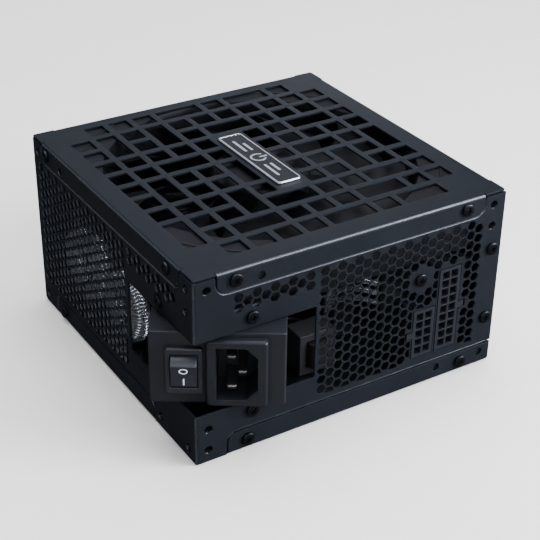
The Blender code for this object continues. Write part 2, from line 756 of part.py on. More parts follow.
# Inlet block. Its pieces are drawn facing -Y about the pin, and the empty turns them.
def build_inlet_block(plastic, gloss, metal, switch_finish):
    pivot = add_empty("inlet_pivot", inside(PIVOT, PIVOT), REST_TURN)
    half = PLATE_WIDTH / 2
    inner = half - BLOCK_WALL
    shape = bmesh.new()
    prism(shape, rounded(-half, -PLATE_REACH, half, BLOCK_BACK, (0.8 * MM, 0.8 * MM, 0, 0)), BLOCK_LOW,
          BLOCK_TOP)
    housing = add_object("inlet_housing", shape, plastic, pivot)
    cuts = bmesh.new()
    box(cuts, (-inner, -PLATE_REACH + BLOCK_WALL, BLOCK_LOW + BLOCK_WALL),
        (inner, BLOCK_BACK + 2 * MM, BLOCK_TOP - BLOCK_WALL))
    combine(housing, add_cutter("block_hollow", cuts, pivot))
    cuts = bmesh.new()
    for (width, height), place in ((INLET_BODY, inlet_centre()), (SWITCH_BODY, switch_centre())):
        hole = centred(width + 2 * GAP, height + 2 * GAP, place)
        prism(cuts, hole, PLATE_REACH - BLOCK_WALL - 1 * MM, PLATE_REACH + 1 * MM, THROUGH)
    combine(housing, add_cutter("block_holes", cuts, pivot))
    pins = bmesh.new()
    reach = BLOCK_CLEARANCE + SHEET
    circle = ring(PIVOT_PIN_R, 16)
    prism(pins, circle, BLOCK_TOP - BLOCK_WALL / 2, BLOCK_TOP + reach)
    prism(pins, circle, BLOCK_LOW - reach, BLOCK_LOW + BLOCK_WALL / 2)
    combine(housing, add_cutter("block_pins", pins, pivot), "UNION")

    shape = bmesh.new()
    low = BLOCK_BACK + GAP
    box(shape, (-half, low, BLOCK_LOW), (half, low + REAR_COVER, BLOCK_TOP))
    cover = add_object("inlet_rear_cover", shape, plastic, pivot)
    extras = bmesh.new()
    box(extras, (-inner + GAP, low - 2 * MM, BLOCK_LOW + BLOCK_WALL + GAP),
        (inner - GAP, low + REAR_COVER / 2, BLOCK_TOP - BLOCK_WALL - GAP))
    combine(cover, add_cutter("cover_rim", extras, pivot), "UNION")
    cuts = bmesh.new()
    prism(cuts, ring(5 * MM, 16, (-6 * MM, BLOCK_MIDDLE)), -low - 5 * MM, -low + 5 * MM, THROUGH)
    combine(cover, add_cutter("lead_hole", cuts, pivot))

    build_inlet_socket(gloss, metal, pivot)
    build_switch(switch_finish, pivot)


def inlet_centre():
    return INLET_X, BLOCK_MIDDLE - INLET_DROP


def switch_centre():
    return SWITCH_X, BLOCK_MIDDLE - SWITCH_DROP


def build_inlet_socket(gloss, metal, pivot):
    centre = inlet_centre()
    face = PLATE_REACH + INLET_PROUD
    shape = bmesh.new()
    prism(shape, centred(*INLET_FLANGE, centre, 1.5 * MM), PLATE_REACH + GAP, face, THROUGH)
    socket = add_object("inlet_socket", shape, gloss, pivot)
    extras = bmesh.new()
    prism(extras, centred(*INLET_BODY, centre), PLATE_REACH - INLET_BODY_DEPTH, PLATE_REACH + 1.5 * MM, THROUGH)
    combine(socket, add_cutter("socket_body", extras, pivot), "UNION")
    cuts = bmesh.new()
    x, z = centre
    half_w = INLET_WELL[0] / 2
    half_h = INLET_WELL[1] / 2
    outline = [(x - half_w, z - half_h), (x + half_w - WELL_CHAMFER, z - half_h),
               (x + half_w, z - half_h + WELL_CHAMFER), (x + half_w, z + half_h - WELL_CHAMFER),
               (x + half_w - WELL_CHAMFER, z + half_h), (x - half_w, z + half_h)]
    prism(cuts, outline, face - WELL_DEPTH, face + 1 * MM, THROUGH)
    combine(socket, add_cutter("socket_well", cuts, pivot))
    slots = bmesh.new()
    for name, place in pin_places():
        slot = centred(PIN_WIDTH + 2 * GAP, PIN_THICK + 2 * GAP, place)
        prism(slots, slot, PLATE_REACH - INLET_BODY_DEPTH - 1 * MM, face - WELL_DEPTH + 1 * MM, THROUGH)
        shape = bmesh.new()
        tail = PLATE_REACH - INLET_BODY_DEPTH - 4 * MM
        prism(shape, centred(PIN_WIDTH, PIN_THICK, place, 0.4 * MM), tail, face - 1.7 * MM, THROUGH)
        add_object(name, shape, metal, pivot)
    combine(socket, add_cutter("pin_slots", slots, pivot))


def pin_places():
    x, z = inlet_centre()
    return (("live_pin", (x + LIVE_PIN_X, z + PIN_SPACING / 2)),
            ("neutral_pin", (x + LIVE_PIN_X, z - PIN_SPACING / 2)),
            ("earth_pin", (x + EARTH_PIN_X, z)))


def build_switch(finish, pivot):
    centre = switch_centre()
    face = PLATE_REACH + BEZEL_PROUD
    shape = bmesh.new()
    prism(shape, centred(*BEZEL, centre, 1.2 * MM), PLATE_REACH + GAP, face, THROUGH)
    case = add_object("switch_case", shape, finish, pivot)
    extras = bmesh.new()
    prism(extras, centred(*SWITCH_BODY, centre), PLATE_REACH - SWITCH_BODY_DEPTH, PLATE_REACH + 1 * MM,
          THROUGH)
    combine(case, add_cutter("switch_body", extras, pivot), "UNION")
    cuts = bmesh.new()
    width = ROCKER_WIDTH + 2 * GAP
    height = 2 * (ROCKER_R + GAP)
    axis_depth = face - ROCKER_SINK
    prism(cuts, centred(width, height, centre), axis_depth - ROCKER_R - GAP, face + 1 * MM, THROUGH)
    combine(case, add_cutter("switch_well", cuts, pivot))
    cuts = bmesh.new()
    reach = ROCKER_WIDTH / 2 + 3 * MM
    bore = ring(AXLE_R + GAP, 12, (-axis_depth, centre[1]))
    prism(cuts, bore, centre[0] - reach, centre[0] + reach, ALONG)
    combine(case, add_cutter("axle_bore", cuts, pivot))

    axle = add_empty("switch_axle", (centre[0], -axis_depth, centre[1]), parent=pivot)
    outline = [(-ROCKER_R * math.cos(ROCKER_HALF) + 0.6 * MM, 0)]
    back = math.radians(125)
    steps = 4
    for step in range(steps + 1):
        angle = ROCKER_HALF + (back - ROCKER_HALF) * step / steps
        outline.append((-ROCKER_R * math.cos(angle), ROCKER_R * math.sin(angle)))
    outline += [(x, -z) for x, z in outline[:0:-1]]
    shape = bmesh.new()
    prism(shape, outline, -ROCKER_WIDTH / 2, ROCKER_WIDTH / 2, ALONG)
    rocker = add_object("switch_rocker", shape, finish, axle, tilt=ROCKER_TILT)
    stubs = bmesh.new()
    reach = ROCKER_WIDTH / 2 + 0.9 * MM
    prism(stubs, ring(AXLE_R, 12), -reach, reach, ALONG)
    combine(rocker, add_cutter("axle_stubs", stubs, axle), "UNION")


def build_pivot_brackets(steel):
    """Plates above and below the block, with flanges screwed to the front and left walls."""
    bore = PIVOT_PIN_R + GAP
    edge = SHEET + GAP
    far = PIVOT + 8.5 * MM
    front_tab = (PIVOT - 9.8 * MM, PIVOT + 6.2 * MM)
    left_tab = (PIVOT - 7.8 * MM, PIVOT + 8.2 * MM)
    plate = [(front_tab[0] - SHEET, edge), (front_tab[1] + SHEET, edge), (far, PIVOT), (PIVOT, far),
             (edge, left_tab[1] + SHEET), (edge, left_tab[0] - SHEET)]
    for name, upper in (("upper_pivot_bracket", True), ("lower_pivot_bracket", False)):
        level = BLOCK_TOP + BLOCK_CLEARANCE + 0.1 * MM if upper else BLOCK_LOW - BLOCK_CLEARANCE - 0.1 * MM - SHEET
        shape = bmesh.new()
        prism(shape, [inside(x, y).xy for x, y in plate], level, level + SHEET)
        bracket = add_object(name, shape, steel)
        low = level + SHEET / 2 if upper else level + SHEET / 2 - 9 * MM
        flanges = bmesh.new()
        box(flanges, inside(front_tab[0], edge - EDGE_STEP / 2, low),
            inside(front_tab[1], edge + SHEET, low + 9 * MM))
        box(flanges, inside(edge - EDGE_STEP / 2, left_tab[0], low),
            inside(edge + SHEET, left_tab[1], low + 9 * MM))
        combine(bracket, add_cutter(name + "_flanges", flanges), "UNION")
        cuts = bmesh.new()
        prism(cuts, ring(bore, 20, inside(PIVOT, PIVOT).xy), level - 2 * MM, level + SHEET + 2 * MM)
        for side in ("front", "left"):
            screw_holes(cuts, side, casing_screws()[side][-2:] if side == "left" else
                        casing_screws()[side][4:6])
        combine(bracket, add_cutter(name + "_holes", cuts))


# Lead sockets and boards
def build_socket(socket, finish):
    name, side, x, z, columns, rows, _ = socket
    frame = wall_frame(side) @ THROUGH
    shape = bmesh.new()
    prism(shape, socket_outline(socket), -SOCKET_DEPTH, EDGE_STEP, frame)
    body = add_object(name, shape, finish)
    _, _, across, up = socket_size(columns, rows)
    cuts = bmesh.new()
    for column in range(columns):
        for row in range(rows):
            place = (x + (column - (columns - 1) / 2) * across, z + (row - (rows - 1) / 2) * up)
            prism(cuts, centred(CELL, CELL, place), -SOCKET_DEPTH + 2 * MM, 1 * MM, frame)
    combine(body, add_cutter(name + "_cells", cuts))


def build_boards(board_finish, steel):
    shape = bmesh.new()
    half_x = WIDTH / 2 - BOARD_MARGIN
    half_y = DEPTH / 2 - BOARD_MARGIN
    prism(shape, rectangle(-half_x, -half_y, half_x, half_y), BOARD_LEVEL, BOARD_LEVEL + BOARD)
    board = add_object("main_board", shape, board_finish)
    holes = bmesh.new()
    for place in standoff_places():
        prism(holes, ring(MOUNT_HOLE_R, 12, place), BOARD_LEVEL - 1 * MM, BOARD_LEVEL + BOARD + 1 * MM)
    combine(board, add_cutter("board_holes", holes))
    depth = SOCKET_DEPTH + GAP
    for name, side, start, end in (
        ("front_socket_board", "front", WIDTH - 54 * MM, WIDTH - 17 * MM),
        ("side_socket_board", "right", 17 * MM, DEPTH - 12 * MM),
    ):
        shape = bmesh.new()
        low = (start, depth, PART_LEVEL)
        box(shape, low, (end, depth + BOARD, FAN_LOW - 1.5 * MM), wall_frame(side))
        add_object(name, shape, board_finish)
    bracket = bmesh.new()
    tab = SHEET + GAP
    arm = BOSS_X - 4 * MM
    section = [(arm, tab), (BOSS_X + 4 * MM, tab), (BOSS_X + 4 * MM, tab + SHEET), (arm + SHEET, tab + SHEET),
               (arm + SHEET, depth - GAP), (arm, depth - GAP)]
    prism(bracket, section, BOSS_Z - 4 * MM, BOSS_Z + 4 * MM, wall_frame("front"))
    item = add_object("board_bracket", bracket, steel)
    holes = bmesh.new()
    screw_holes(holes, "front", ((BOSS_X, BOSS_Z),))
    combine(item, add_cutter("board_bracket_hole", holes))


# Electrical parts inside
def build_ring_coil(name, finish, centre, mean_r, wire_r):
    """Ring core with its winding, standing on its rim with its axis along X."""
    shape = bmesh.new()
    section = [(mean_r + x, y) for x, y in ring(wire_r, 8)]
    upright = Matrix.Translation(centre) @ Matrix.Rotation(math.radians(90), 4, "Y")
    lathe(shape, section, 20, upright)
    return add_object(name, shape, finish)


def build_can(name, finish, x, y, radius, height):
    """Electrolytic capacitor: a can with a rolled groove near its foot."""
    groove = radius * 0.9
    profile = [(0, 0), (radius, 0), (radius, 3 * MM), (groove, 4 * MM), (radius, 5 * MM),
               (radius, height - 1 * MM), (radius - 1 * MM, height), (0, height)]
    shape = bmesh.new()
    lathe(shape, profile, 20, Matrix.Translation(inside(x, y, PART_LEVEL)), closed=False)
    return add_object(name, shape, finish)


def build_heatsink(name, finish, x, y0, y1, fins, fin_reach, height):
    """Upright plate with fins on one side, drawn as a comb."""
    thick = 1.2 * MM
    step = (y1 - y0 - thick) / (fins - 1)
    comb = [(x - HEATSINK_BASE, y0), (x + fin_reach, y0)]
    for index in range(fins):
        start = y0 + index * step
        if index:
            comb += [(x, start), (x + fin_reach, start)]
        comb += [(x + fin_reach, start + thick)]
        if index < fins - 1:
            comb += [(x, start + thick)]
    comb.append((x - HEATSINK_BASE, y1))
    shape = bmesh.new()
    prism(shape, [inside(px, py).xy for px, py in comb], PART_LEVEL, PART_LEVEL + height)
    return add_object(name, shape, finish)


def build_transformer(name, finish, x, y, width, length, height):
    """Ferrite core with the winding showing at its two ends."""
    half_w = width / 2
    half_l = length / 2
    neck = 0.62
    cross = [(-half_w, -half_l * neck), (-half_w * neck, -half_l * neck), (-half_w * neck, -half_l),
             (half_w * neck, -half_l), (half_w * neck, -half_l * neck), (half_w, -half_l * neck),
             (half_w, half_l * neck), (half_w * neck, half_l * neck), (half_w * neck, half_l),
             (-half_w * neck, half_l), (-half_w * neck, half_l * neck), (-half_w, half_l * neck)]
    shape = bmesh.new()
    outline = [inside(x + dx, y + dy).xy for dx, dy in cross]
    prism(shape, outline, PART_LEVEL, PART_LEVEL + height)
    return add_object(name, shape, finish)


def spaced(low, high, sizes, gaps):
    """Centres of parts in a row; the free room between low and high is shared out as the gaps."""
    scale = (high - low - sum(sizes)) / sum(gaps)
    centres = []
    for size, gap in zip(sizes, gaps):
        low += gap * scale
        centres.append(low + size / 2)
        low += size
    return centres


def build_electronics(aluminium, copper, ferrite, sleeve):
    back = DEPTH
    build_ring_coil("line_filter_coil", copper, inside(13 * MM, back - 65 * MM, 26 * MM), 12 * MM, 5 * MM)
    build_ring_coil("pfc_choke", copper, inside(13 * MM, back - 28 * MM, 29 * MM), 14 * MM, 6 * MM)
    build_heatsink("primary_heatsink", aluminium, PRIMARY_X, back - 75 * MM, back - 8 * MM, 9, PRIMARY_FIN,
                   40 * MM)

    fins_end = PRIMARY_X + PRIMARY_FIN
    output_x = WIDTH - 28 * MM
    room_end = output_x - OUTPUT_CAN_R
    heatsink = HEATSINK_BASE + SECONDARY_FIN
    transformer_x, heatsink_x = spaced(fins_end, room_end, (TRANSFORMER[0], heatsink),
                                       (13.0 * MM, 17.5 * MM, 13.0 * MM))
    base_x = heatsink_x - heatsink / 2
    can_x, = spaced(fins_end, base_x, (2 * BULK_CAN_R,), (3.0 * MM, 23.5 * MM))
    build_can("bulk_capacitor", sleeve, can_x, back - 32 * MM, BULK_CAN_R, 46 * MM)
    build_transformer("main_transformer", ferrite, transformer_x, back - 75 * MM, *TRANSFORMER)
    clear_of_block = PIVOT + PLATE_WIDTH / 2 + 8.2 * MM
    build_transformer("standby_transformer", ferrite, clear_of_block + STANDBY[0] / 2, 28 * MM, *STANDBY)
    build_heatsink("secondary_heatsink", aluminium, base_x + HEATSINK_BASE, 40 * MM, back - 20 * MM, 10,
                   SECONDARY_FIN, 42 * MM)
    for index in range(2):
        build_can(f"output_capacitor_{index + 1}", sleeve, output_x, 60 * MM + index * 16 * MM, OUTPUT_CAN_R,
                  20 * MM)


def main():
    clear_scene()
    steel = surface("black_powder_coat", (0.012, 0.014, 0.018), 0.5, 0.1)
    fastener = surface("blackened_steel", (0.03, 0.03, 0.035), 0.35, 0.9)
    plastic = surface("black_moulding", (0.014, 0.016, 0.019), 0.45)
    gloss = surface("black_socket_moulding", (0.01, 0.01, 0.012), 0.3)
    metal = surface("plated_brass", (0.7, 0.69, 0.66), 0.25, 1.0)
    board_finish = surface("circuit_board", (0.01, 0.05, 0.025), 0.5)
    aluminium = surface("aluminium", (0.6, 0.61, 0.62), 0.4, 1.0)
    copper = surface("enamelled_wire", (0.5, 0.22, 0.08), 0.3, 0.8)
    ferrite = surface("ferrite", (0.05, 0.05, 0.052), 0.6)
    sleeve = surface("capacitor_sleeve", (0.02, 0.02, 0.025), 0.3)

    holes = build_hole_cutter()
    build_side_casing(steel, holes)
    build_top_cover(steel, holes)
    build_bottom_cover(steel, holes)
    build_modular_panel(steel, holes)
    build_badge(gloss)
    build_screws(fastener)
    build_fan_frame(plastic)
    build_fan_stator(plastic)
    build_fan_rotor(plastic)
    build_fan_screws(fastener)
    build_inlet_block(plastic, gloss, metal, gloss)
    build_pivot_brackets(steel)
    for socket in FRONT_SOCKETS + SIDE_SOCKETS:
        build_socket(socket, gloss)
    build_boards(board_finish, steel)
    build_electronics(aluminium, copper, ferrite, sleeve)


main()
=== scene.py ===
"""Looks of an ATX power supply unit: folded sheet metal, mouldings, fan, inlet block and stage.

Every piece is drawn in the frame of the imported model: Z up, the lead sockets face -Y, the
long vented wall faces -X, and the origin is the centre of the underside. Lengths are metres.
"""

import json
import math

import bmesh
import bpy
from mathutils import Matrix, Vector


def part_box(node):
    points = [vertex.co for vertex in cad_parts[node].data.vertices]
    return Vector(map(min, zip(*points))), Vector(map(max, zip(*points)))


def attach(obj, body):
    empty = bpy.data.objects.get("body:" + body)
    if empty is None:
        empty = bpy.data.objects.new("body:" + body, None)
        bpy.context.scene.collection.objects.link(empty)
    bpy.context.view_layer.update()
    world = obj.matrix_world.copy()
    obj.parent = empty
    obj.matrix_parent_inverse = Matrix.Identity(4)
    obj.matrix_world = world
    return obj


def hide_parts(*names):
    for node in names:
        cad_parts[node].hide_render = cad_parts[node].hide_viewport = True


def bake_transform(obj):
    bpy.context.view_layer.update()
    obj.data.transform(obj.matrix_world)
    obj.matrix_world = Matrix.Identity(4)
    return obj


bl_info = {
    "name": "Power supply unit",
    "version": (1, 0, 0),
    "blender": (4, 5, 0),
    "location": "View3D > Sidebar > Power supply",
    "description": "Builds the visible pieces of a modular power supply round its packed frame",
    "category": "Object",
}

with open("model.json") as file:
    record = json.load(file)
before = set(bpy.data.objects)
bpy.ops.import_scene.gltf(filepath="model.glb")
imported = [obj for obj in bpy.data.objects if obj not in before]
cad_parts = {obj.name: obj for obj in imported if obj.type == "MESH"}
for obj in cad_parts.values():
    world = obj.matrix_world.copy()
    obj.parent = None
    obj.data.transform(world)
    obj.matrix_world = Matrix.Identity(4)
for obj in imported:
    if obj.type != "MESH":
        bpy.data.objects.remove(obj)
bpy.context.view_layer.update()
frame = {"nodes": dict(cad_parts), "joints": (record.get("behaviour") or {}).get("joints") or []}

MM = 0.001
SHEET = 1.0 * MM
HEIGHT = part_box("top_cover")[1].z
HALF_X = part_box("top_cover")[1].x
HALF_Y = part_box("top_cover")[1].y
WIDTH = 2 * HALF_X
DEPTH = 2 * HALF_Y
CASING_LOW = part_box("side_casing")[0].z
CASING_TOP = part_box("side_casing")[1].z
BEND = 1.6 * MM
ARC = BEND * math.pi / 2
CORNER_INSET = 0.4 * MM
CORNER_CUT = 1.0 * MM
FLANGE_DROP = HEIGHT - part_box("top_cover")[0].z
BASE_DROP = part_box("bottom_cover")[1].z
JOINTS = {joint["name"]: joint for joint in frame["joints"]}
BLOCK_TURN = -math.radians(JOINTS["inlet_turn"]["range_deg"][1])
PIVOT = Vector((*JOINTS["inlet_turn"]["pos_m"][:2], 0))
BLOCK = Matrix.Translation(PIVOT) @ Matrix.Rotation(BLOCK_TURN, 4, "Z")
THROUGH = Matrix(((1, 0, 0, 0), (0, 0, -1, 0), (0, 1, 0, 0), (0, 0, 0, 1)))
ALONG = Matrix(((0, 0, 1, 0), (1, 0, 0, 0), (0, 1, 0, 0), (0, 0, 0, 1)))
# The inlet block's notch, from the near corner along both walls
NOTCH = PIVOT.x + HALF_X + 28.0 * MM
MOUNT_HOLE = 1.9 * MM

# Openings of the fan grille from the back row to the front: o is open, > is joined to the
# next on its right, v to the next in front, . is solid.
GRILLE = (
    ".ooo>oo>oo.",
    "ovovooooooo",
    "ooooo>ooooo",
    "ooooo.oo>oo",
    "oo>oo.ooooo",
    "ovoov.o>oov",
    "ooooo.oovoo",
    "ooovo.ooooo",
    "vooo>ooo>oo",
    "oo>oooo>ooo",
    ".oooo>oo>o.",
)


def linear(code):
    """Linear RGB of an sRGB hex colour such as #30343a."""
    values = [int(code[start:start + 2], 16) / 255 for start in (1, 3, 5)]
    return tuple(v / 12.92 if v <= 0.04045 else ((v + 0.055) / 1.055) ** 2.4 for v in values)


def length(name, words, default):
    return bpy.props.FloatProperty(name=name, description=words, default=default, unit="LENGTH", precision=5)


def colour(name, words, code):
    return bpy.props.FloatVectorProperty(name=name, description=words, default=linear(code), size=3,
                                         subtype="COLOR", min=0, max=1)


class SheetSizes(bpy.types.PropertyGroup):
    """Sizes of the folded sheet metal."""

    edge: length("Edge softness", "Radius left on a punched edge", 0.2 * MM)
    hex_pitch: length("Vent pitch", "Distance between vent holes up a column", 4.72 * MM)
    hex_web: length("Vent web", "Metal left between two vent holes", 0.78 * MM)
    vent_top: length("Vent top", "Depth of the vents' upper edge below the top", 11.0 * MM)
    vent_base: length("Vent base", "Height of the vents' lower edge", 13.6 * MM)
    bar_x: length("Grille bar across", "Width of the bars that run front to back", 3.0 * MM)
    bar_y: length("Grille bar along", "Width of the bars that run side to side", 3.2 * MM)
    grille_side: length("Grille side margin", "Plain margin left and right of the grille", 10.45 * MM)
    grille_back: length("Grille back margin", "Plain margin behind the grille", 6.7 * MM)
    grille_front: length("Grille front margin", "Plain margin before the grille", 10.5 * MM)
    flange_radius: length("Flange radius", "Radius of a flange's free corners", 4.5 * MM)


class FanSizes(bpy.types.PropertyGroup):
    """Sizes of the fan."""

    blades: bpy.props.IntProperty(name="Blades", description="Number of fan blades", default=9, min=3, max=15)
    hub: length("Hub radius", "Outer radius of the rotor's hub", 22.0 * MM)
    tip_gap: length("Tip clearance", "Gap between the blade tips and the bore", 1.5 * MM)
    bore: length("Bore", "Radius of the fan frame's bore", 67.0 * MM)
    hole_inset: length("Screw inset", "Distance of the fan screws from the frame's sides", 7.75 * MM)


class InletSizes(bpy.types.PropertyGroup):
    """Sizes of the turning inlet block and what it carries."""

    plate_width: length("Plate width", "Width of the block's front", 54.0 * MM)
    plate_reach: length("Plate reach", "Distance from the pin to the front", 28.0 * MM)
    back: length("Block back", "Distance from the pin to the open back", 8.0 * MM)
    corner: length("Corner radius", "Radius of the moulded corners", 0.7 * MM)
    inlet_x: length("Inlet offset", "Mains socket's centre, right of the pin", 7.65 * MM)
    inlet_drop: length("Inlet drop", "Mains socket's centre, below the block's middle", 0.7 * MM)
    switch_x: length("Switch offset", "Switch centre, right of the pin", -13.1 * MM)
    switch_drop: length("Switch drop", "Switch centre, below the block's middle", 0.6 * MM)
    rocker_r: length("Rocker radius", "Radius of the rocker's round ends", 7.5 * MM)
    rocker_tilt: bpy.props.FloatProperty(name="Rocker tilt", description="Tilt of the rocker at rest",
                                         default=math.radians(12), subtype="ANGLE")


class FinishColours(bpy.types.PropertyGroup):
    """Colours of the finishes."""

    coat: colour("Powder coat", "Satin black coat on the sheet steel", "#14171b")
    moulding: colour("Inlet moulding", "Black moulded plastic of the block", "#1a1c20")
    rocker: colour("Switch moulding", "Black plastic of the switch", "#1d2025")
    fan: colour("Fan moulding", "Black plastic of the fan", "#0d0e11")
    mark: colour("Printed mark", "Pale grey print", "#c3c8cc")
    fastener: colour("Fastener", "Black oxide on the screws", "#202226")
    # The boards' near-black is partly the solder mask's own colour and partly painted shade of the case's
    # inside.
    board: colour("Solder mask", "Dark lacquer on the boards", "#070d0b")
    wire: colour("Winding wire", "Tinned copper wire", "#b9bcc0")


class SHEET_OT_side_casing(bpy.types.Operator):
    """Fold the front, left and back walls from one punched blank"""

    bl_idname = "psu.side_casing"
    bl_label = "Side casing"

    def execute(self, context):
        sizes = context.scene.psu_sheet
        shape = blank(casing_outline(sizes), casing_holes(sizes), sizes.edge)
        for start, _ in bend_starts():
            cut_arc(shape, Vector((start, 0, 0)), Vector((1, 0, 0)))
        fold_casing(shape)
        publish("casing_wrap", shape, "powder_coat", "root", ("side_casing",))
        for side in ("front", "left", "back"):
            publish_lips(sizes, side)
        return {"FINISHED"}


class SHEET_OT_covers(bpy.types.Operator):
    """Press the fan grille cover and the base, each with four flanges"""

    bl_idname = "psu.covers"
    bl_label = "Covers"

    def execute(self, context):
        sizes = context.scene.psu_sheet
        spans = {side: top_span(side) for side in SIDES}
        holes = [oblong(x0, y0, x1, y1, 0.35 * MM) for x0, y0, x1, y1 in grille_cells(sizes)]
        shape = tray(sizes, spans, FLANGE_DROP, holes, cover_flange_holes(True), sizes.edge)
        place(shape, Matrix.Translation((0, 0, HEIGHT)))
        publish("fan_grille_cover", shape, "powder_coat", "root", ("top_cover",))
        spans = {}
        for side in SIDES:
            start, end = base_span(side)
            whole = wall_length(side)
            spans[FLIPPED[side]] = (whole - end, whole - start)
        shape = tray(sizes, spans, BASE_DROP, [], cover_flange_holes(False), 1.5 * sizes.edge)
        place(shape, Matrix.Rotation(math.pi, 4, "X"))
        publish("base_cover", shape, "powder_coat", "root", ("bottom_cover",))
        return {"FINISHED"}


class SHEET_OT_modular_panel(bpy.types.Operator):
    """Punch the right wall for its lead sockets and bend its two tabs"""

    bl_idname = "psu.modular_panel"
    bl_label = "Modular panel"

    def execute(self, context):
        sizes = context.scene.psu_sheet
        low = 1.5 * MM
        high = DEPTH - 1.5 * MM
        outline = stepped_outline([("right", low, high)], sizes, lambda side, s: s)
        holes = [socket_outline(socket, 0.3 * MM) for socket in SIDE_SOCKETS]
        shape = blank(outline, holes, sizes.edge)
        place(shape, wall_frame("right") @ THROUGH)
        tabs = bmesh.new()
        for start in (1.3 * MM, DEPTH - 1.3 * MM - SHEET):
            box(tabs, (start, SHEET / 2, 17 * MM), (start + SHEET, 10 * MM, 67 * MM), wall_frame("right"))
        join(shape, tabs)
        publish("socket_panel", shape, "powder_coat", "root", ("modular_panel",))
        publish_lips(sizes, "right")
        return {"FINISHED"}


class PIECE_OT_badge(bpy.types.Operator):
    """Set the bright-edged badge with its plain power symbol on the grille"""

    bl_idname = "psu.badge"
    bl_label = "Badge"

    def execute(self, context):
        low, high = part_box("badge_plate")
        centre = (low + high) / 2
        wide = high.x - low.x
        tall = high.y - low.y
        rim = 0.85 * MM
        shape = bmesh.new()
        levels = ((0, low.z), (0, high.z - 0.3 * MM), (0.28 * MM, high.z), (rim, high.z),
                  (rim + 0.12 * MM, high.z - 0.22 * MM))
        rings = []
        for inset, z in levels:
            outline = centred(wide - 2 * inset, tall - 2 * inset, centre, 1.6 * MM - inset / 2, 6)
            rings.append([(x, y, z) for x, y in outline])
        loft(shape, rings)
        publish("badge_surround", shape, "bright_edge", "root", ("badge_plate",))
        shape = bmesh.new()
        inner = rim + 0.1 * MM
        face = centred(wide - 2 * inner, tall - 2 * inner, centre, 1.0 * MM, 6)
        prism(shape, face, high.z - 0.3 * MM, high.z - 0.16 * MM)
        publish("badge_face", shape, "badge_black", "root", ())
        shape = power_symbol(centre, high.z - 0.17 * MM)
        publish("badge_symbol", shape, "bright_edge", "root", ())
        return {"FINISHED"}


class PIECE_OT_screws(bpy.types.Operator):
    """Put a cross-recessed pan head screw at each fastener place"""

    bl_idname = "psu.screws"
    bl_label = "Screws"

    def execute(self, context):
        head = screw_mesh()
        seats = {"front": Vector((0, -1, 0)), "left": Vector((-1, 0, 0)), "back": Vector((0, 1, 0))}
        for name in sorted(frame["nodes"]):
            side = name.split("_screw_")[0]
            if side not in seats:
                continue
            low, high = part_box(name)
            middle = (low + high) / 2
            out = seats[side]
            tip = max(out.dot(low), out.dot(high))
            seat = middle + out * (tip - SCREW_HEAD - out.dot(middle))
            number = int(name.rsplit("_", 1)[1])
            turn = Matrix.Rotation(math.radians(37 * number % 90), 4, "Z")
            where = Matrix.Translation(seat) @ out.to_track_quat("Z", "Y").to_matrix().to_4x4() @ turn
            item = bpy.data.objects.new(name.replace("_screw_", "_pan_screw_"), head)
            context.scene.collection.objects.link(item)
            item.matrix_world = where
            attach(item, "root")
            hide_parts(name)
        publish("mounting_threads", thread_collars(), "black_oxide", "root", ())
        return {"FINISHED"}


class PIECE_OT_fan(bpy.types.Operator):
    """Mould the fan's frame, motor seat and swept rotor"""

    bl_idname = "psu.fan"
    bl_label = "Fan"

    def execute(self, context):
        sizes = context.scene.psu_fan
        build_fan_frame(sizes)
        build_rotor(sizes)
        return {"FINISHED"}


class PIECE_OT_inlet_block(bpy.types.Operator):
    """Mould the block that turns round the upright pin, and its rear cover"""

    bl_idname = "psu.inlet_block"
    bl_label = "Inlet block"

    def execute(self, context):
        build_block(context.scene.psu_inlet)
        build_mains_socket(context.scene.psu_inlet)
        return {"FINISHED"}


class PIECE_OT_switch(bpy.types.Operator):
    """Mould the switch bezel and the rocker, with its two marks"""

    bl_idname = "psu.switch"
    bl_label = "Switch"

    def execute(self, context):
        build_switch(context.scene.psu_inlet)
        return {"FINISHED"}


class PIECE_OT_lead_sockets(bpy.types.Operator):
    """Mould each lead socket with its cells, latch rail and contacts"""

    bl_idname = "psu.lead_sockets"
    bl_label = "Lead sockets"

    def execute(self, context):
        for socket in FRONT_SOCKETS + SIDE_SOCKETS:
            build_lead_socket(socket)
        return {"FINISHED"}


class PIECE_OT_electronics(bpy.types.Operator):
    """Wind the coils and sleeve the capacitors seen through the vents"""

    bl_idname = "psu.electronics"
    bl_label = "Electronics"

    def execute(self, context):
        build_wound_ring("line_filter_coil", 1.6 * MM, 62)
        build_wound_ring("pfc_choke", 1.6 * MM, 72)
        for node in ("bulk_capacitor", "output_capacitor_1", "output_capacitor_2"):
            build_capacitor(node)
        for node in ("main_transformer", "standby_transformer"):
            build_transformer(node)
        build_leads()
        build_output_links()
        return {"FINISHED"}


class PIECE_OT_finishes(bpy.types.Operator):
    """Give the frame's own pieces that stay visible their finishes"""

    bl_idname = "psu.finishes"
    bl_label = "Finishes"

    def execute(self, context):
        kept = {
            "upper_pivot_bracket": "zinc_plate", "lower_pivot_bracket": "zinc_plate",
            "board_bracket": "zinc_plate", "main_board": "solder_mask",
            "front_socket_board": "solder_mask", "side_socket_board": "solder_mask",
            "primary_heatsink": "aluminium", "secondary_heatsink": "aluminium", "fan_stator": "fan_moulding",
        }
        kept.update({f"fan_screw_{index}": "black_oxide" for index in range(1, 5)})
        for node, name in kept.items():
            item = frame["nodes"][node]
            item.data.materials.clear()
            item.data.materials.append(finish(name))
        return {"FINISHED"}


class STAGE_OT_studio(bpy.types.Operator):
    """Lay the pale floor and set the lights and the camera"""

    bl_idname = "psu.studio"
    bl_label = "Studio"

    def execute(self, context):
        build_stage(context.scene)
        return {"FINISHED"}


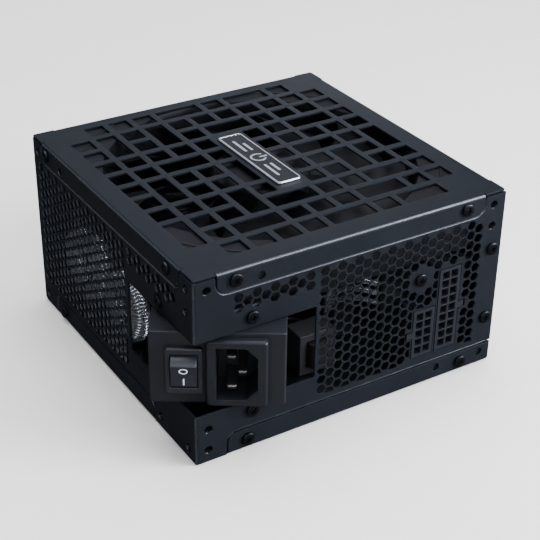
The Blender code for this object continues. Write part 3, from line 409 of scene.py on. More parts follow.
class VIEW3D_PT_power_supply(bpy.types.Panel):
    """Lists the steps and their sizes"""

    bl_label = "Power supply"
    bl_idname = "VIEW3D_PT_power_supply"
    bl_space_type = "VIEW_3D"
    bl_region_type = "UI"
    bl_category = "Power supply"

    def draw(self, context):
        layout = self.layout
        for step in STEPS:
            layout.operator(step.bl_idname)
        for group in ("psu_sheet", "psu_fan", "psu_inlet", "psu_colours"):
            values = getattr(context.scene, group)
            for key in values.bl_rna.properties.keys():
                if key not in ("rna_type", "name"):
                    layout.prop(values, key)


GROUPS = {"psu_sheet": SheetSizes, "psu_fan": FanSizes, "psu_inlet": InletSizes, "psu_colours": FinishColours}
STEPS = (SHEET_OT_side_casing, SHEET_OT_covers, SHEET_OT_modular_panel, PIECE_OT_badge, PIECE_OT_screws,
         PIECE_OT_fan, PIECE_OT_inlet_block, PIECE_OT_switch, PIECE_OT_lead_sockets, PIECE_OT_electronics,
         PIECE_OT_finishes, STAGE_OT_studio)


# Outlines and solids

def ring(radius, count, centre=(0, 0)):
    angles = [2 * math.pi * step / count for step in range(count)]
    return [(centre[0] + radius * math.cos(a), centre[1] + radius * math.sin(a)) for a in angles]


def rounded(x0, y0, x1, y1, radii, steps=6):
    """Rectangle with its own radius at each corner, from the lower left, anticlockwise."""
    corners = ((x0, y0, 1, 1, 180), (x1, y0, -1, 1, 270), (x1, y1, -1, -1, 0), (x0, y1, 1, -1, 90))
    points = []
    for (x, y, side_x, side_y, start), radius in zip(corners, radii):
        if radius <= 0:
            points.append((x, y))
            continue
        for step in range(steps + 1):
            angle = math.radians(start + 90 * step / steps)
            points.append((x + radius * (side_x + math.cos(angle)), y + radius * (side_y + math.sin(angle))))
    return points


def oblong(x0, y0, x1, y1, radius):
    return rounded(x0, y0, x1, y1, (radius,) * 4, 3)


def centred(width, height, centre=(0, 0), radius=0.0, steps=4):
    x, y = centre[0], centre[1]
    return rounded(x - width / 2, y - height / 2, x + width / 2, y + height / 2, (radius,) * 4, steps)


def area(points):
    return sum(a[0] * b[1] - b[0] * a[1] for a, b in zip(points, points[1:] + points[:1])) / 2


def prism(shape, outline, low, high, where=Matrix()):
    """Straight solid on a flat outline, from low to high along the local Z."""
    loft(shape, [[(x, y, low) for x, y in outline], [(x, y, high) for x, y in outline]], where)


def box(shape, low, high, where=Matrix()):
    outline = [(low[0], low[1]), (high[0], low[1]), (high[0], high[1]), (low[0], high[1])]
    prism(shape, outline, low[2], high[2], where)


def loft(shape, rings, where=Matrix(), closed=False):
    """Skin through rings of equal count, capped at both ends or joined end to start."""
    rows = [[shape.verts.new(where @ Vector(point)) for point in points] for points in rings]
    pairs = list(zip(rows, rows[1:]))
    if closed:
        pairs.append((rows[-1], rows[0]))
    for first, second in pairs:
        for index in range(len(first)):
            after = (index + 1) % len(first)
            shape.faces.new((first[index], first[after], second[after], second[index]))
    if not closed:
        shape.faces.new(rows[0][::-1])
        shape.faces.new(rows[-1])


def lathe(shape, profile, count, where=Matrix(), closed=False):
    """Turned solid from (radius, level) points; a radius of 0 is a point on the axis."""
    rows = []
    for radius, level in profile:
        spots = [(0, 0)] if radius == 0 else ring(radius, count)
        rows.append([shape.verts.new(where @ Vector((x, y, level))) for x, y in spots])
    pairs = list(zip(rows, rows[1:]))
    if closed:
        pairs.append((rows[-1], rows[0]))
    for first, second in pairs:
        for index in range(count):
            after = (index + 1) % count
            corners = [first[index % len(first)], first[after % len(first)],
                       second[after % len(second)], second[index % len(second)]]
            unique = list(dict.fromkeys(corners))
            if len(unique) > 2:
                shape.faces.new(unique)


def tube(shape, points, radius, count=8):
    """Round bar along a path of points."""
    rings = []
    for index, point in enumerate(points):
        before = points[max(index - 1, 0)]
        after = points[min(index + 1, len(points) - 1)]
        aim = (Vector(after) - Vector(before)).normalized()
        turn = aim.to_track_quat("Z", "Y").to_matrix()
        rings.append([Vector(point) + turn @ Vector((x, y, 0)) for x, y in ring(radius, count)])
    loft(shape, rings)


def join(shape, other):
    """Adds the second shape's faces to the first."""
    mesh = bpy.data.meshes.new("joined")
    other.to_mesh(mesh)
    other.free()
    shape.from_mesh(mesh)
    bpy.data.meshes.remove(mesh)


def place(shape, where):
    bmesh.ops.transform(shape, matrix=where, verts=shape.verts)


def blank(outline, holes, edge, thick=SHEET):
    """Flat punched sheet with softened edges: its outer face is at Z 0 and its back at -thick."""
    scale = 1 / MM
    curve = bpy.data.curves.new("blank", "CURVE")
    curve.dimensions = "2D"
    curve.fill_mode = "BOTH"
    curve.extrude = (thick / 2 - edge) * scale
    curve.bevel_depth = edge * scale
    curve.bevel_resolution = 1
    curve.offset = -edge * scale
    for index, points in enumerate([outline] + holes):
        wanted = 1 if index == 0 else -1
        loop = points if area(points) * wanted > 0 else points[::-1]
        spline = curve.splines.new("POLY")
        spline.points.add(len(loop) - 1)
        for knot, (x, y) in zip(spline.points, loop):
            knot.co = (x * scale, y * scale, 0, 1)
        spline.use_cyclic_u = True
    item = bpy.data.objects.new("blank", curve)
    bpy.context.scene.collection.objects.link(item)
    bpy.context.view_layer.update()
    mesh = bpy.data.meshes.new_from_object(item.evaluated_get(bpy.context.evaluated_depsgraph_get()))
    shape = bmesh.new()
    shape.from_mesh(mesh)
    bpy.data.objects.remove(item)
    bpy.data.curves.remove(curve)
    bpy.data.meshes.remove(mesh)
    place(shape, Matrix.Scale(MM, 4) @ Matrix.Translation((0, 0, -thick * scale / 2)))
    bmesh.ops.remove_doubles(shape, verts=shape.verts, dist=0.002 * MM)
    return shape


# A coated face whose normal is further than 28 degrees from an axis belongs to a bend or a punched edge, and
# gets the lighter coat of a painted highlight
FLAT_FACE = math.cos(math.radians(28))


def add_item(name, shape, materials):
    """Makes a smooth-shaded object from a shape, which it uses up."""
    mesh = bpy.data.meshes.new(name)
    for material in materials:
        mesh.materials.append(material)
    shape.to_mesh(mesh)
    shape.free()
    mesh.shade_smooth()
    item = bpy.data.objects.new(name, mesh)
    bpy.context.scene.collection.objects.link(item)
    return item


def publish(name, shape, finish_name, body, nodes, soften=0.0, smooth=35):
    """Makes the object from a shape, with its finish, body and the frame pieces it stands for."""
    bmesh.ops.recalc_face_normals(shape, faces=shape.faces)
    names = [finish_name]
    # Bends and punched edges take a lighter copy of the coat: a painted highlight.
    if finish_name == "powder_coat":
        names.append("powder_coat_painted_highlight")
        for face in shape.faces:
            face.material_index = int(max(abs(value) for value in face.normal) < FLAT_FACE)
    item = add_item(name, shape, [finish(key) for key in names])
    item.data.set_sharp_from_angle(angle=math.radians(smooth))
    if soften:
        modifier = item.modifiers.new("soft edges", "BEVEL")
        modifier.width = soften
        modifier.segments = 3
        modifier.limit_method = "ANGLE"
        modifier.angle_limit = math.radians(40)
        modifier.harden_normals = True
    level = item.modifiers.new("flat faces stay flat", "WEIGHTED_NORMAL")
    level.weight = 100
    level.keep_sharp = True
    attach(item, body)
    if nodes:
        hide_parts(*nodes)
    return item


def carve(shape, tool, operation="DIFFERENCE"):
    """Boolean of two shapes, returned as a new shape."""
    items = []
    for part in (shape, tool):
        bmesh.ops.recalc_face_normals(part, faces=part.faces)
        mesh = bpy.data.meshes.new("carve")
        part.to_mesh(mesh)
        part.free()
        item = bpy.data.objects.new("carve", mesh)
        bpy.context.scene.collection.objects.link(item)
        items.append(item)
    modifier = items[0].modifiers.new("carve", "BOOLEAN")
    modifier.operation = operation
    modifier.solver = "EXACT"
    modifier.object = items[1]
    bpy.context.view_layer.update()
    mesh = bpy.data.meshes.new_from_object(items[0].evaluated_get(bpy.context.evaluated_depsgraph_get()))
    result = bmesh.new()
    result.from_mesh(mesh)
    bpy.data.meshes.remove(mesh)
    for item in items:
        data = item.data
        bpy.data.objects.remove(item)
        bpy.data.meshes.remove(data)
    return result


# Walls and their features

SIDES = ("front", "right", "back", "left")
FLIPPED = {"front": "back", "back": "front", "left": "left", "right": "right"}


def wall_length(side):
    return WIDTH if side in ("front", "back") else DEPTH


def wall_frame(side):
    """Local frame of a wall seen from outside: X to the right, Y inward, Z up."""
    corner, turn = {
        "front": ((-HALF_X, -HALF_Y), 0),
        "right": ((HALF_X, -HALF_Y), 90),
        "back": ((HALF_X, HALF_Y), 180),
        "left": ((-HALF_X, HALF_Y), 270),
    }[side]
    return Matrix.Translation((*corner, 0)) @ Matrix.Rotation(math.radians(turn), 4, "Z")


def top_span(side):
    return 10.5 * MM, wall_length(side) - 11.0 * MM


def base_span(side):
    whole = wall_length(side)
    return {
        "front": (15.0 * MM, whole - 0.1 * MM),
        "left": (16.0 * MM, whole - 36.0 * MM),
        "back": (15.0 * MM, whole - 15.0 * MM),
        "right": (15.0 * MM, whole - 15.0 * MM),
    }[side]


def flange_span(side, upper):
    return top_span(side) if upper else base_span(side)


def mount_holes(side):
    """The standard case mounting holes, in both ways round."""
    whole = wall_length(side)
    low = 6.0 * MM
    high = HEIGHT - 6.0 * MM
    return [(low, high), (whole - low, high), (whole - low, high - 10 * MM), (30 * MM, high),
            (low, low + 10 * MM), (low, low), (whole - 30 * MM, low), (whole - low, low)]


BOSS = (WIDTH - 42.5 * MM, 54.5 * MM)
FRONT_SOCKETS = (
    ("socket_10_pin", "front", WIDTH - 39.0 * MM, 27.3 * MM, 2, 5, "left"),
    ("socket_18_pin", "front", WIDTH - 26.5 * MM, 35.7 * MM, 2, 9, "right"),
)
SIDE_SOCKETS = tuple(
    (f"side_socket_{index + 1}", "right", DEPTH / 2 + (index - 2) * 24.0 * MM, 38.0 * MM, 4, 2, "top")
    for index in range(5)
)
CELL = 3.4 * MM
SOCKET_WALL = 1.6 * MM
SOCKET_DEPTH = 11.0 * MM


def socket_pitch(columns):
    """Cell spacing across and up: the wide pitch runs across the pair of rows."""
    return (4.5 * MM, 4.2 * MM) if columns == 2 else (4.2 * MM, 4.5 * MM)


def socket_halves(socket):
    """Half the width and half the height of a socket's body, without its latch."""
    columns, rows = socket[4:6]
    across, up = socket_pitch(columns)
    return ((columns - 1) * across + CELL) / 2 + SOCKET_WALL, ((rows - 1) * up + CELL) / 2 + SOCKET_WALL


def socket_body(socket):
    """Least and greatest place of a socket's body on its wall."""
    half_w, half_h = socket_halves(socket)
    x, z = socket[2:4]
    return x - half_w, z - half_h, x + half_w, z + half_h


def socket_outline(socket, grow=0.0):
    """Rectangle with the latch bump on one side."""
    _, _, x, z, _, _, latch = socket
    half_w, half_h = (half + grow for half in socket_halves(socket))
    reach = 3 * MM + 2 * grow
    half = 1.5 * MM + grow
    points = [(-half_w, -half_h), (half_w, -half_h), (half_w, half_h), (-half_w, half_h)]
    if latch == "right":
        points[2:2] = [(half_w, -half), (half_w + reach, -half), (half_w + reach, half), (half_w, half)]
    elif latch == "top":
        points[3:3] = [(half, half_h), (half, half_h + reach), (-half, half_h + reach), (-half, half_h)]
    elif latch == "left":
        points += [(-half_w, half), (-half_w - reach, half), (-half_w - reach, -half), (-half_w, -half)]
    return [(x + dx, z + dz) for dx, dz in points]


def spread(points):
    xs = [x for x, _ in points]
    ys = [y for _, y in points]
    return min(xs), min(ys), max(xs), max(ys)


def clipped(points, axis, low, high):
    """The part of an outline between two values of one of its coordinates."""
    for level, sign in ((low, 1), (high, -1)):
        kept = []
        for a, b in zip(points, points[1:] + points[:1]):
            inside_a = sign * (a[axis] - level) >= 0
            inside_b = sign * (b[axis] - level) >= 0
            if inside_a:
                kept.append(a)
            if inside_a != inside_b:
                part = (level - a[axis]) / (b[axis] - a[axis])
                kept.append((a[0] + part * (b[0] - a[0]), a[1] + part * (b[1] - a[1])))
        points = kept
        if len(points) < 3:
            return []
    return points


def trimmed(hole, x, z, blocked):
    """A vent hole cut back to the edge of each rectangle it runs into; lost if it starts inside one."""
    for x0, z0, x1, z1 in blocked:
        low_x, low_z, high_x, high_z = spread(hole)
        if high_x <= x0 or low_x >= x1 or high_z <= z0 or low_z >= z1:
            continue
        if x < x0:
            hole = clipped(hole, 0, -1, x0)
        elif x > x1:
            hole = clipped(hole, 0, x1, 1)
        elif z < z0:
            hole = clipped(hole, 1, -1, z0)
        elif z > z1:
            hole = clipped(hole, 1, z1, 1)
        else:
            hole = []
        if not hole:
            return []
    return hole


def vent_holes(sizes, low, high, blocked=()):
    """Six-sided holes in staggered columns; those on an edge are cut short."""
    step = sizes.hex_pitch * math.sqrt(3) / 2
    across = sizes.hex_pitch - sizes.hex_web
    radius = across / math.sqrt(3)
    whole = area(ring(radius, 6))
    columns = int((high[0] - low[0] - 2 * radius) / step + 1e-6) + 1
    start = (low[0] + high[0] - (columns - 1) * step) / 2
    holes = []
    for column in range(columns):
        x = start + column * step
        z = high[1] - across / 2 + (sizes.hex_pitch / 2 if column % 2 else 0)
        while z + across / 2 > low[1]:
            hole = clipped(ring(radius, 6, (x, z)), 1, low[1], high[1])
            if blocked and hole:
                hole = [] if math.dist((x, z), BOSS) < 5.7 * MM else trimmed(hole, x, z, blocked)
            if hole and area(hole) > 0.45 * whole:
                holes.append(hole)
            z -= sizes.hex_pitch
    return holes


def wall_vents(sizes):
    top = HEIGHT - sizes.vent_top
    low = sizes.vent_base
    strip = top - 8.6 * MM
    blocked = []
    for socket in FRONT_SOCKETS:
        x0, z0, x1, z1 = socket_body(socket)
        blocked.append((x0 - 0.9 * MM, z0 - 0.9 * MM, x1 + 0.9 * MM, z1 + 0.9 * MM))
        _, _, _, z, _, _, latch = socket
        edge = x1 if latch == "right" else x0 - 4.0 * MM
        blocked.append((edge, z - 2.6 * MM, edge + 4.0 * MM, z + 2.6 * MM))
    front = vent_holes(sizes, (NOTCH + 1.2 * MM, low), (WIDTH - 10.6 * MM, top), blocked)
    front += vent_holes(sizes, (16.0 * MM, strip), (NOTCH + 0.8 * MM, top))
    left = vent_holes(sizes, (4.6 * MM, low), (DEPTH - NOTCH - 1.6 * MM, top))
    left += vent_holes(sizes, (DEPTH - NOTCH - 1.2 * MM, strip), (DEPTH - 13.0 * MM, top))
    return {"front": front, "left": left, "back": []}


def flange_outline(sizes, side, upper, grow):
    """Outline of a flange, grown for the cut it lies in."""
    start, end = flange_span(side, upper)
    radius = sizes.flange_radius + grow
    if upper:
        return rounded(start - grow, HEIGHT - FLANGE_DROP - grow, end + grow, HEIGHT, (radius, radius, 0, 0))
    right = radius if end < wall_length(side) - 8 * MM else 0
    return rounded(start - grow, 0, end + grow, BASE_DROP + grow, (0, 0, right, radius))


CUT_GROW = 0.95 * MM


def stepped_outline(parts, sizes, place_on):
    """Outline of a run of walls whose upper and lower edges step round the flanges.
    Each part is (side, start, end); place_on turns a distance on a wall into one on the blank."""
    lower = []
    upper = []
    for side, first, last in parts:
        for rim, is_upper in ((lower, False), (upper, True)):
            level = CASING_TOP if is_upper else CASING_LOW
            start, end = flange_span(side, is_upper)
            start -= CUT_GROW
            end += CUT_GROW
            step = HEIGHT - FLANGE_DROP - CUT_GROW if is_upper else BASE_DROP + CUT_GROW
            radius = sizes.flange_radius + CUT_GROW
            sign = -1 if is_upper else 1
            points = [(first, level)]
            points += [(start, level), *arc_to(start, step, radius, sign, True)]
            if end < last - 2 * MM:
                points += [*arc_to(end, step, radius, sign, False), (end, level), (last, level)]
            else:
                points += [(last, step)]
            rim += [(place_on(side, s), z) for s, z in points]
    clean = []
    for point in lower + upper[::-1]:
        if not clean or (Vector(point) - Vector(clean[-1])).length > 0.05 * MM:
            clean.append(point)
    return clean


def arc_to(s, step, radius, sign, opening):
    """Rounded inner corner of a flange cut, at its start or its end."""
    points = []
    for index in range(7):
        angle = math.radians(90 * index / 6)
        along = radius * (1 - math.cos(angle))
        rise = radius * (1 - math.sin(angle))
        points.append((s + along if opening else s - along, step - sign * rise))
    return points if opening else points[::-1]


# Folding the casing: the blank runs along the back, the left and the front wall

def bend_starts():
    first = WIDTH - BEND
    second = first + ARC + DEPTH - 2 * BEND
    return (first, "left"), (second, "front")


def on_blank(side, s):
    if side == "back":
        return s
    start = bend_starts()[0 if side == "left" else 1][0]
    return start + ARC + s - BEND


def cut_arc(shape, at, along, steps=6):
    """Adds cuts across a fold so that it can turn smoothly."""
    for index in range(steps + 1):
        point = at + along * (ARC * index / steps)
        parts = shape.verts[:] + shape.edges[:] + shape.faces[:]
        bmesh.ops.bisect_plane(shape, geom=parts, dist=0.001 * MM, plane_co=point, plane_no=along)


def fold_casing(shape):
    (first, _), (second, _) = bend_starts()
    for vert in shape.verts:
        s, z, out = vert.co
        if s <= first:
            vert.co = (HALF_X - s, HALF_Y + out, z)
        elif s <= first + ARC:
            angle = (s - first) / BEND
            reach = BEND + out
            vert.co = (-HALF_X + BEND - reach * math.sin(angle), HALF_Y - BEND + reach * math.cos(angle), z)
        elif s <= second:
            vert.co = (-HALF_X - out, HALF_Y - BEND - (s - first - ARC), z)
        elif s <= second + ARC:
            angle = (s - second) / BEND
            reach = BEND + out
            vert.co = (-HALF_X + BEND - reach * math.cos(angle), -HALF_Y + BEND - reach * math.sin(angle), z)
        else:
            vert.co = (-HALF_X + BEND + s - second - ARC, -HALF_Y - out, z)


def casing_outline(sizes):
    parts = [("back", 0.0, WIDTH), ("left", BEND, DEPTH - BEND), ("front", BEND, WIDTH)]

    def place_on(side, s):
        return on_blank(side, min(s, WIDTH - BEND) if side == "back" else s)

    return stepped_outline(parts, sizes, place_on)


def casing_holes(sizes):
    holes = []
    vents = wall_vents(sizes)
    for side in ("back", "left", "front"):
        local = list(vents[side])
        if side != "back":
            spots = [spot for spot in mount_holes(side) if not under_flange(side, spot)]
            local += [ring(MOUNT_HOLE, 20, spot) for spot in spots]
        if side == "front":
            local += [socket_outline(socket, 0.3 * MM) for socket in FRONT_SOCKETS]
        holes += [[(on_blank(side, x), z) for x, z in points] for points in local]
    low, high = block_levels()
    holes.append(oblong(on_blank("left", DEPTH - NOTCH), low - 0.4 * MM, on_blank("front", NOTCH),
                        high + 0.4 * MM, 0.5 * MM))
    return holes


def flange_depth(side, spot, upper):
    """Depth of a spot below its flange's fold, or None where no flange covers it."""
    start, end = flange_span(side, upper)
    depth = HEIGHT - spot[1] if upper else spot[1]
    covered = start < spot[0] < end and depth < (FLANGE_DROP if upper else BASE_DROP)
    return depth if covered else None


def under_flange(side, spot):
    """True where a wall is cut away behind a flange."""
    return any(flange_depth(side, spot, upper) is not None for upper in (True, False))


def lip_shape(sizes, side, upper):
    """Sheet pressed back behind a flange, with a sloping joggle up to the wall's face."""
    levels = ((-1.2, 1.3), (-0.3, 1.3), (0.05, 1.18), (0.55, 0.55), (0.82, 0.12), (0.98, 0.0), (1.3, 0.25),
              (1.3, 0.9), (0.9, 1.1), (-0.1, 2.3), (-1.2, 2.3))
    shape = bmesh.new()
    far = wall_length(side) - 2.6 * MM
    rings = []
    for grow, depth in levels:
        points = flange_outline(sizes, side, upper, grow * MM)
        if upper:
            points = [(x, min(z, CASING_TOP - 0.3 * MM)) for x, z in points]
        else:
            points = [(x, max(z, CASING_LOW + 0.3 * MM)) for x, z in points]
        rings.append([(min(x, far), z, -depth * MM) for x, z in points])
    loft(shape, rings, wall_frame(side) @ THROUGH)
    return shape


def publish_lips(sizes, side):
    for edge, upper in (("upper", True), ("lower", False)):
        lip = lip_shape(sizes, side, upper)
        publish(f"{side}_{edge}_lip", lip, "powder_coat", "root", ())


# Covers: a plate with four flanges, drawn flat and folded down

def tray(sizes, spans, drop, holes, flange_holes, edge):
    """Plate with its outer face at Z 0 and its flanges pointing down, on the unit's plan."""
    notch = 0.35 * MM
    fall = ARC + drop - BEND
    outline = []
    for side in SIDES:
        half, turn = side_axes(side)
        whole = wall_length(side)
        start, end = spans[side]
        radius = sizes.flange_radius
        rise = half - BEND
        flat = half - CORNER_INSET
        if start > CORNER_INSET:
            points = [(CORNER_CUT, flat), (start - notch, flat), (start - notch, rise - notch),
                      (start, rise - notch)]
            points += [(start + radius * (1 - math.cos(a)), rise + fall - radius * (1 - math.sin(a)))
                       for a in quarter(6)]
        else:
            points = [(start, rise + ARC), (start, rise + fall)]
        points += [(end - radius * (1 - math.cos(a)), rise + fall - radius * (1 - math.sin(a)))
                   for a in quarter(6)[::-1]]
        points += [(end, rise - notch), (end + notch, rise - notch), (end + notch, flat),
                   (whole - CORNER_CUT, flat)]
        outline += [turn @ Vector((t - whole / 2, -out, 0)) for t, out in points]
    outline = [(p.x, p.y) for p in outline]
    punched = list(holes)
    for side, spot in flange_holes:
        half, turn = side_axes(side)
        whole = wall_length(side)
        out = half - BEND + ARC + spot[1] - BEND
        circle = ring(MOUNT_HOLE, 20, (spot[0] - whole / 2, -out))
        punched.append([(turn @ Vector((x, y, 0))).xy[:] for x, y in circle])
    shape = blank(outline, punched, edge)
    for side in SIDES:
        half, turn = side_axes(side)
        out = turn @ Vector((0, -1, 0))
        cut_arc(shape, out * (half - BEND), out)
    for side in SIDES:
        fold_flange(shape, side, spans[side], notch)
    return shape


def quarter(steps):
    return [math.radians(90 * index / steps) for index in range(steps + 1)]


def side_axes(side):
    """Half the plan across a side, and the turn from the front side to it."""
    half = HALF_Y if side in ("front", "back") else HALF_X
    return half, Matrix.Rotation(math.radians(90 * SIDES.index(side)), 4, "Z")


def fold_flange(shape, side, span, notch):
    half, turn = side_axes(side)
    back = turn.inverted()
    whole = wall_length(side)
    for vert in shape.verts:
        local = back @ vert.co
        along = local.x + whole / 2
        past = -local.y - (half - BEND)
        if past <= 1e-7 or not span[0] - notch / 2 < along < span[1] + notch / 2:
            continue
        depth = -local.z
        if past < ARC:
            angle = past / BEND
            reach = BEND - depth
            local.y = -(half - BEND + reach * math.sin(angle))
            local.z = -BEND + reach * math.cos(angle)
        else:
            local.y = -(half - depth)
            local.z = -BEND - (past - ARC)
        vert.co = turn @ local


def grille_cells(sizes):
    """Openings of the grille as rectangles, joined where the drawing says so."""
    count = len(GRILLE)
    step_x = (WIDTH - 2 * sizes.grille_side + sizes.bar_x) / count
    step_y = (DEPTH - sizes.grille_back - sizes.grille_front + sizes.bar_y) / count
    left = -HALF_X + sizes.grille_side
    back = HALF_Y - sizes.grille_back
    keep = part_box("badge_plate")[1].x + 2.4 * MM
    cells = []
    taken = set()
    for row, line in enumerate(GRILLE):
        for column, mark in enumerate(line):
            if mark == "." or (row, column) in taken:
                continue
            wide = 2 if mark == ">" else 1
            tall = 2 if mark == "v" else 1
            taken.update({(row + tall - 1, column), (row, column + wide - 1)})
            x0 = left + column * step_x
            x1 = x0 + wide * step_x - sizes.bar_x
            y1 = back - row * step_y
            y0 = y1 - tall * step_y + sizes.bar_y
            if "." in line[3:8]:
                x1 = min(x1, -keep) if x0 < -keep else x1
                x0 = max(x0, keep) if x1 > keep else x0
            cells.append((x0, y0, x1, y1))
    return cells


def cover_flange_holes(upper):
    """Case mounting holes that pass through the flanges, as (side, (along, depth))."""
    holes = []
    for side in ("front", "left"):
        whole = wall_length(side)
        for spot in mount_holes(side):
            depth = flange_depth(side, spot, upper)
            if depth is not None and upper:
                holes.append((side, (spot[0], depth)))
            elif depth is not None:
                holes.append((FLIPPED[side], (whole - spot[0], depth)))
    return holes


# Badge, screws

def power_symbol(centre, level):
    """Plain power symbol, a broken ring and a bar, between two pairs of rules."""
    shape = bmesh.new()
    outer = 3.7 * MM
    inner = 2.75 * MM
    high = level + 0.12 * MM
    sweep = [math.radians(38 + (360 - 76) * step / 40) for step in range(41)]
    arc = [(outer * math.cos(a), outer * math.sin(a)) for a in sweep]
    arc += [(inner * math.cos(a), inner * math.sin(a)) for a in sweep[::-1]]
    prism(shape, [(centre.x + x, centre.y + y) for x, y in arc], level, high)
    prism(shape, centred(3.9 * MM, 1.0 * MM, (centre.x + 2.3 * MM, centre.y), 0.3 * MM), level, high)
    for sign in (-1, 1):
        for across, long in ((-1.5, 12.0), (1.5, 8.0)):
            spot = (centre.x + across * MM, centre.y + sign * (7.5 + long / 2) * MM)
            prism(shape, centred(1.3 * MM, long * MM, spot, 0.6 * MM), level, high)
    return shape


def thread_collars():
    """Tapped collars behind the case mounting holes of the two mounting walls."""
    shape = bmesh.new()
    for side in ("front", "left"):
        for x, z in mount_holes(side):
            under = under_flange(side, (x, z))
            top = (-0.35 if not under else -1.5) * MM
            profile = [(1.84 * MM, top), (1.6 * MM, top - 0.2 * MM)]
            profile += [((1.42 if turn % 2 else 1.6) * MM, top - (0.3 + 0.3 * turn) * MM)
                        for turn in range(8)]
            profile += [(1.6 * MM, -3.2 * MM), (2.6 * MM, -3.2 * MM), (2.6 * MM, -2.5 * MM),
                        (1.84 * MM, -2.4 * MM)]
            where = wall_frame(side) @ THROUGH @ Matrix.Translation((x, z, 0))
            lathe(shape, profile, 24, where, closed=True)
    return shape


SCREW_HEAD = 1.3 * MM


def screw_mesh():
    """Pan head with a cross recess, seated at Z 0 with its top at the head's height."""
    shape = bmesh.new()
    radius = 2.9 * MM
    profile = [(0, SCREW_HEAD)]
    profile += [(radius * math.sin(a), SCREW_HEAD * (0.3 + 0.7 * math.cos(a) ** 0.35))
                for a in (math.radians(d) for d in (14, 28, 42, 56, 68, 78, 86))]
    profile += [(radius, 0.3 * SCREW_HEAD), (radius, 0.1 * MM), (radius - 0.1 * MM, 0), (1.5 * MM, 0),
                (1.5 * MM, -2.5 * MM), (0, -2.5 * MM)]
    lathe(shape, profile, 32)
    recess = bmesh.new()
    reach = 1.75 * MM
    half = 0.38 * MM
    cross = [(half, half), (reach, half), (reach, -half), (half, -half), (half, -reach), (-half, -reach),
             (-half, -half), (-reach, -half), (-reach, half), (-half, half), (-half, reach), (half, reach)]
    top = [(x, y, SCREW_HEAD + 0.5 * MM) for x, y in cross]
    foot = [(x * 0.62, y * 0.62, SCREW_HEAD - 0.95 * MM) for x, y in cross]
    loft(recess, [foot, top])
    shape = carve(shape, recess)
    mesh = bpy.data.meshes.new("pan_head_screw")
    shape.to_mesh(mesh)
    shape.free()
    mesh.shade_smooth()
    mesh.set_sharp_from_angle(angle=math.radians(35))
    mesh.materials.append(finish("black_oxide"))
    return mesh


# Fan

def build_fan_frame(sizes):
    low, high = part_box("fan_frame")
    half = high.x
    shape = bmesh.new()
    prism(shape, centred(2 * half, 2 * half, (0, 0), 6 * MM, 8), low.z, high.z)
    tool = bmesh.new()
    mouth = sizes.bore + 1.4 * MM
    profile = [(0, low.z - 1 * MM), (mouth, low.z - 1 * MM), (mouth, low.z), (sizes.bore, low.z + 2 * MM),
               (sizes.bore, high.z - 2.5 * MM), (mouth, high.z), (mouth, high.z + 1 * MM), (0, high.z + 1 * MM)]
    lathe(tool, profile, 96)
    shape = carve(shape, tool)
    tool = bmesh.new()
    spot = half - sizes.hole_inset
    for x in (-spot, spot):
        for y in (-spot, spot):
            prism(tool, ring(3.6 * MM, 24, (x, y)), high.z - 4 * MM, high.z + 1 * MM)
    shape = carve(shape, tool)
    for turn in range(4):
        rib = bmesh.new()
        middle = math.radians(45 + 90 * turn)
        radius = 78.0 * MM
        arc = [middle + math.radians(angle) for angle in range(-22, 23, 2)]
        path = [(radius * math.cos(a), radius * math.sin(a), high.z - 0.2 * MM) for a in arc]
        tube(rib, [p for p in path if max(abs(p[0]), abs(p[1])) < half - 1.5 * MM], 0.75 * MM)
        join(shape, rib)
    for turn in (45, 135):
        arm = bmesh.new()
        reach = sizes.bore + 1 * MM
        box(arm, (-reach, -3 * MM, low.z + 0.4 * MM), (reach, 3 * MM, low.z + 2.6 * MM),
            Matrix.Rotation(math.radians(turn), 4, "Z"))
        join(shape, arm)
    seat = bmesh.new()
    lathe(seat, [(0, low.z + 0.2 * MM), (21.4 * MM, low.z + 0.2 * MM), (22 * MM, low.z + 0.8 * MM),
                 (22 * MM, low.z + 3 * MM), (0, low.z + 3 * MM)], 48)
    join(shape, seat)
    publish("fan_housing", shape, "fan_moulding", "root", ("fan_frame",))


def build_rotor(sizes):
    low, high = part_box("fan_rotor")
    hub = sizes.hub
    shape = bmesh.new()
    corner = 1.8 * MM
    profile = [(0, high.z), (hub * 0.6, high.z), (hub * 0.62, high.z - 0.25 * MM),
               (hub - corner, high.z - 0.25 * MM)]
    profile += [(hub - corner + corner * math.sin(a), high.z - 0.25 * MM - corner + corner * math.cos(a))
                for a in quarter(5)[1:]]
    profile += [(hub, low.z), (hub - 2 * MM, low.z), (hub - 2 * MM, high.z - 2 * MM), (0, high.z - 2 * MM)]
    lathe(shape, profile, 72)
    for index in range(sizes.blades):
        add_blade(shape, sizes, 2 * math.pi * index / sizes.blades, low.z + 2.5 * MM, high.z - 1.0 * MM)
    publish("fan_impeller", shape, "fan_moulding", "fan", ("fan_rotor",), smooth=50)


def add_blade(shape, sizes, start, low, high):
    """Swept, twisted blade with a rounded edge, from inside the hub wall to near the bore."""
    root = sizes.hub - 0.8 * MM
    tip = sizes.bore - sizes.tip_gap
    spans = 14
    chords = 12
    rings = []
    for span in range(spans + 1):
        part = span / spans
        radius = root + part * (tip - root)
        chord = math.radians(34 - 4 * part)
        lead = start + math.radians(26) * part ** 1.4
        rise = (high - low) * (1.0 - 0.35 * part)
        upper = []
        lower = []
        for step in range(chords + 1):
            across = step / chords
            angle = lead - chord * across
            level = high - rise * (across + 0.18 * math.sin(math.pi * across))
            thick = 1.4 * MM * math.sqrt(max(4 * across * (1 - across), 0.02)) ** 0.6
            x = radius * math.cos(angle)
            y = radius * math.sin(angle)
            upper.append((x, y, level - 0.7 * MM + thick / 2))
            lower.append((x, y, level - 0.7 * MM - thick / 2))
        rings.append(upper + lower[::-1])
    loft(shape, rings)


# Inlet block

def block_levels():
    low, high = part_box("inlet_rear_cover")
    return low.z, high.z


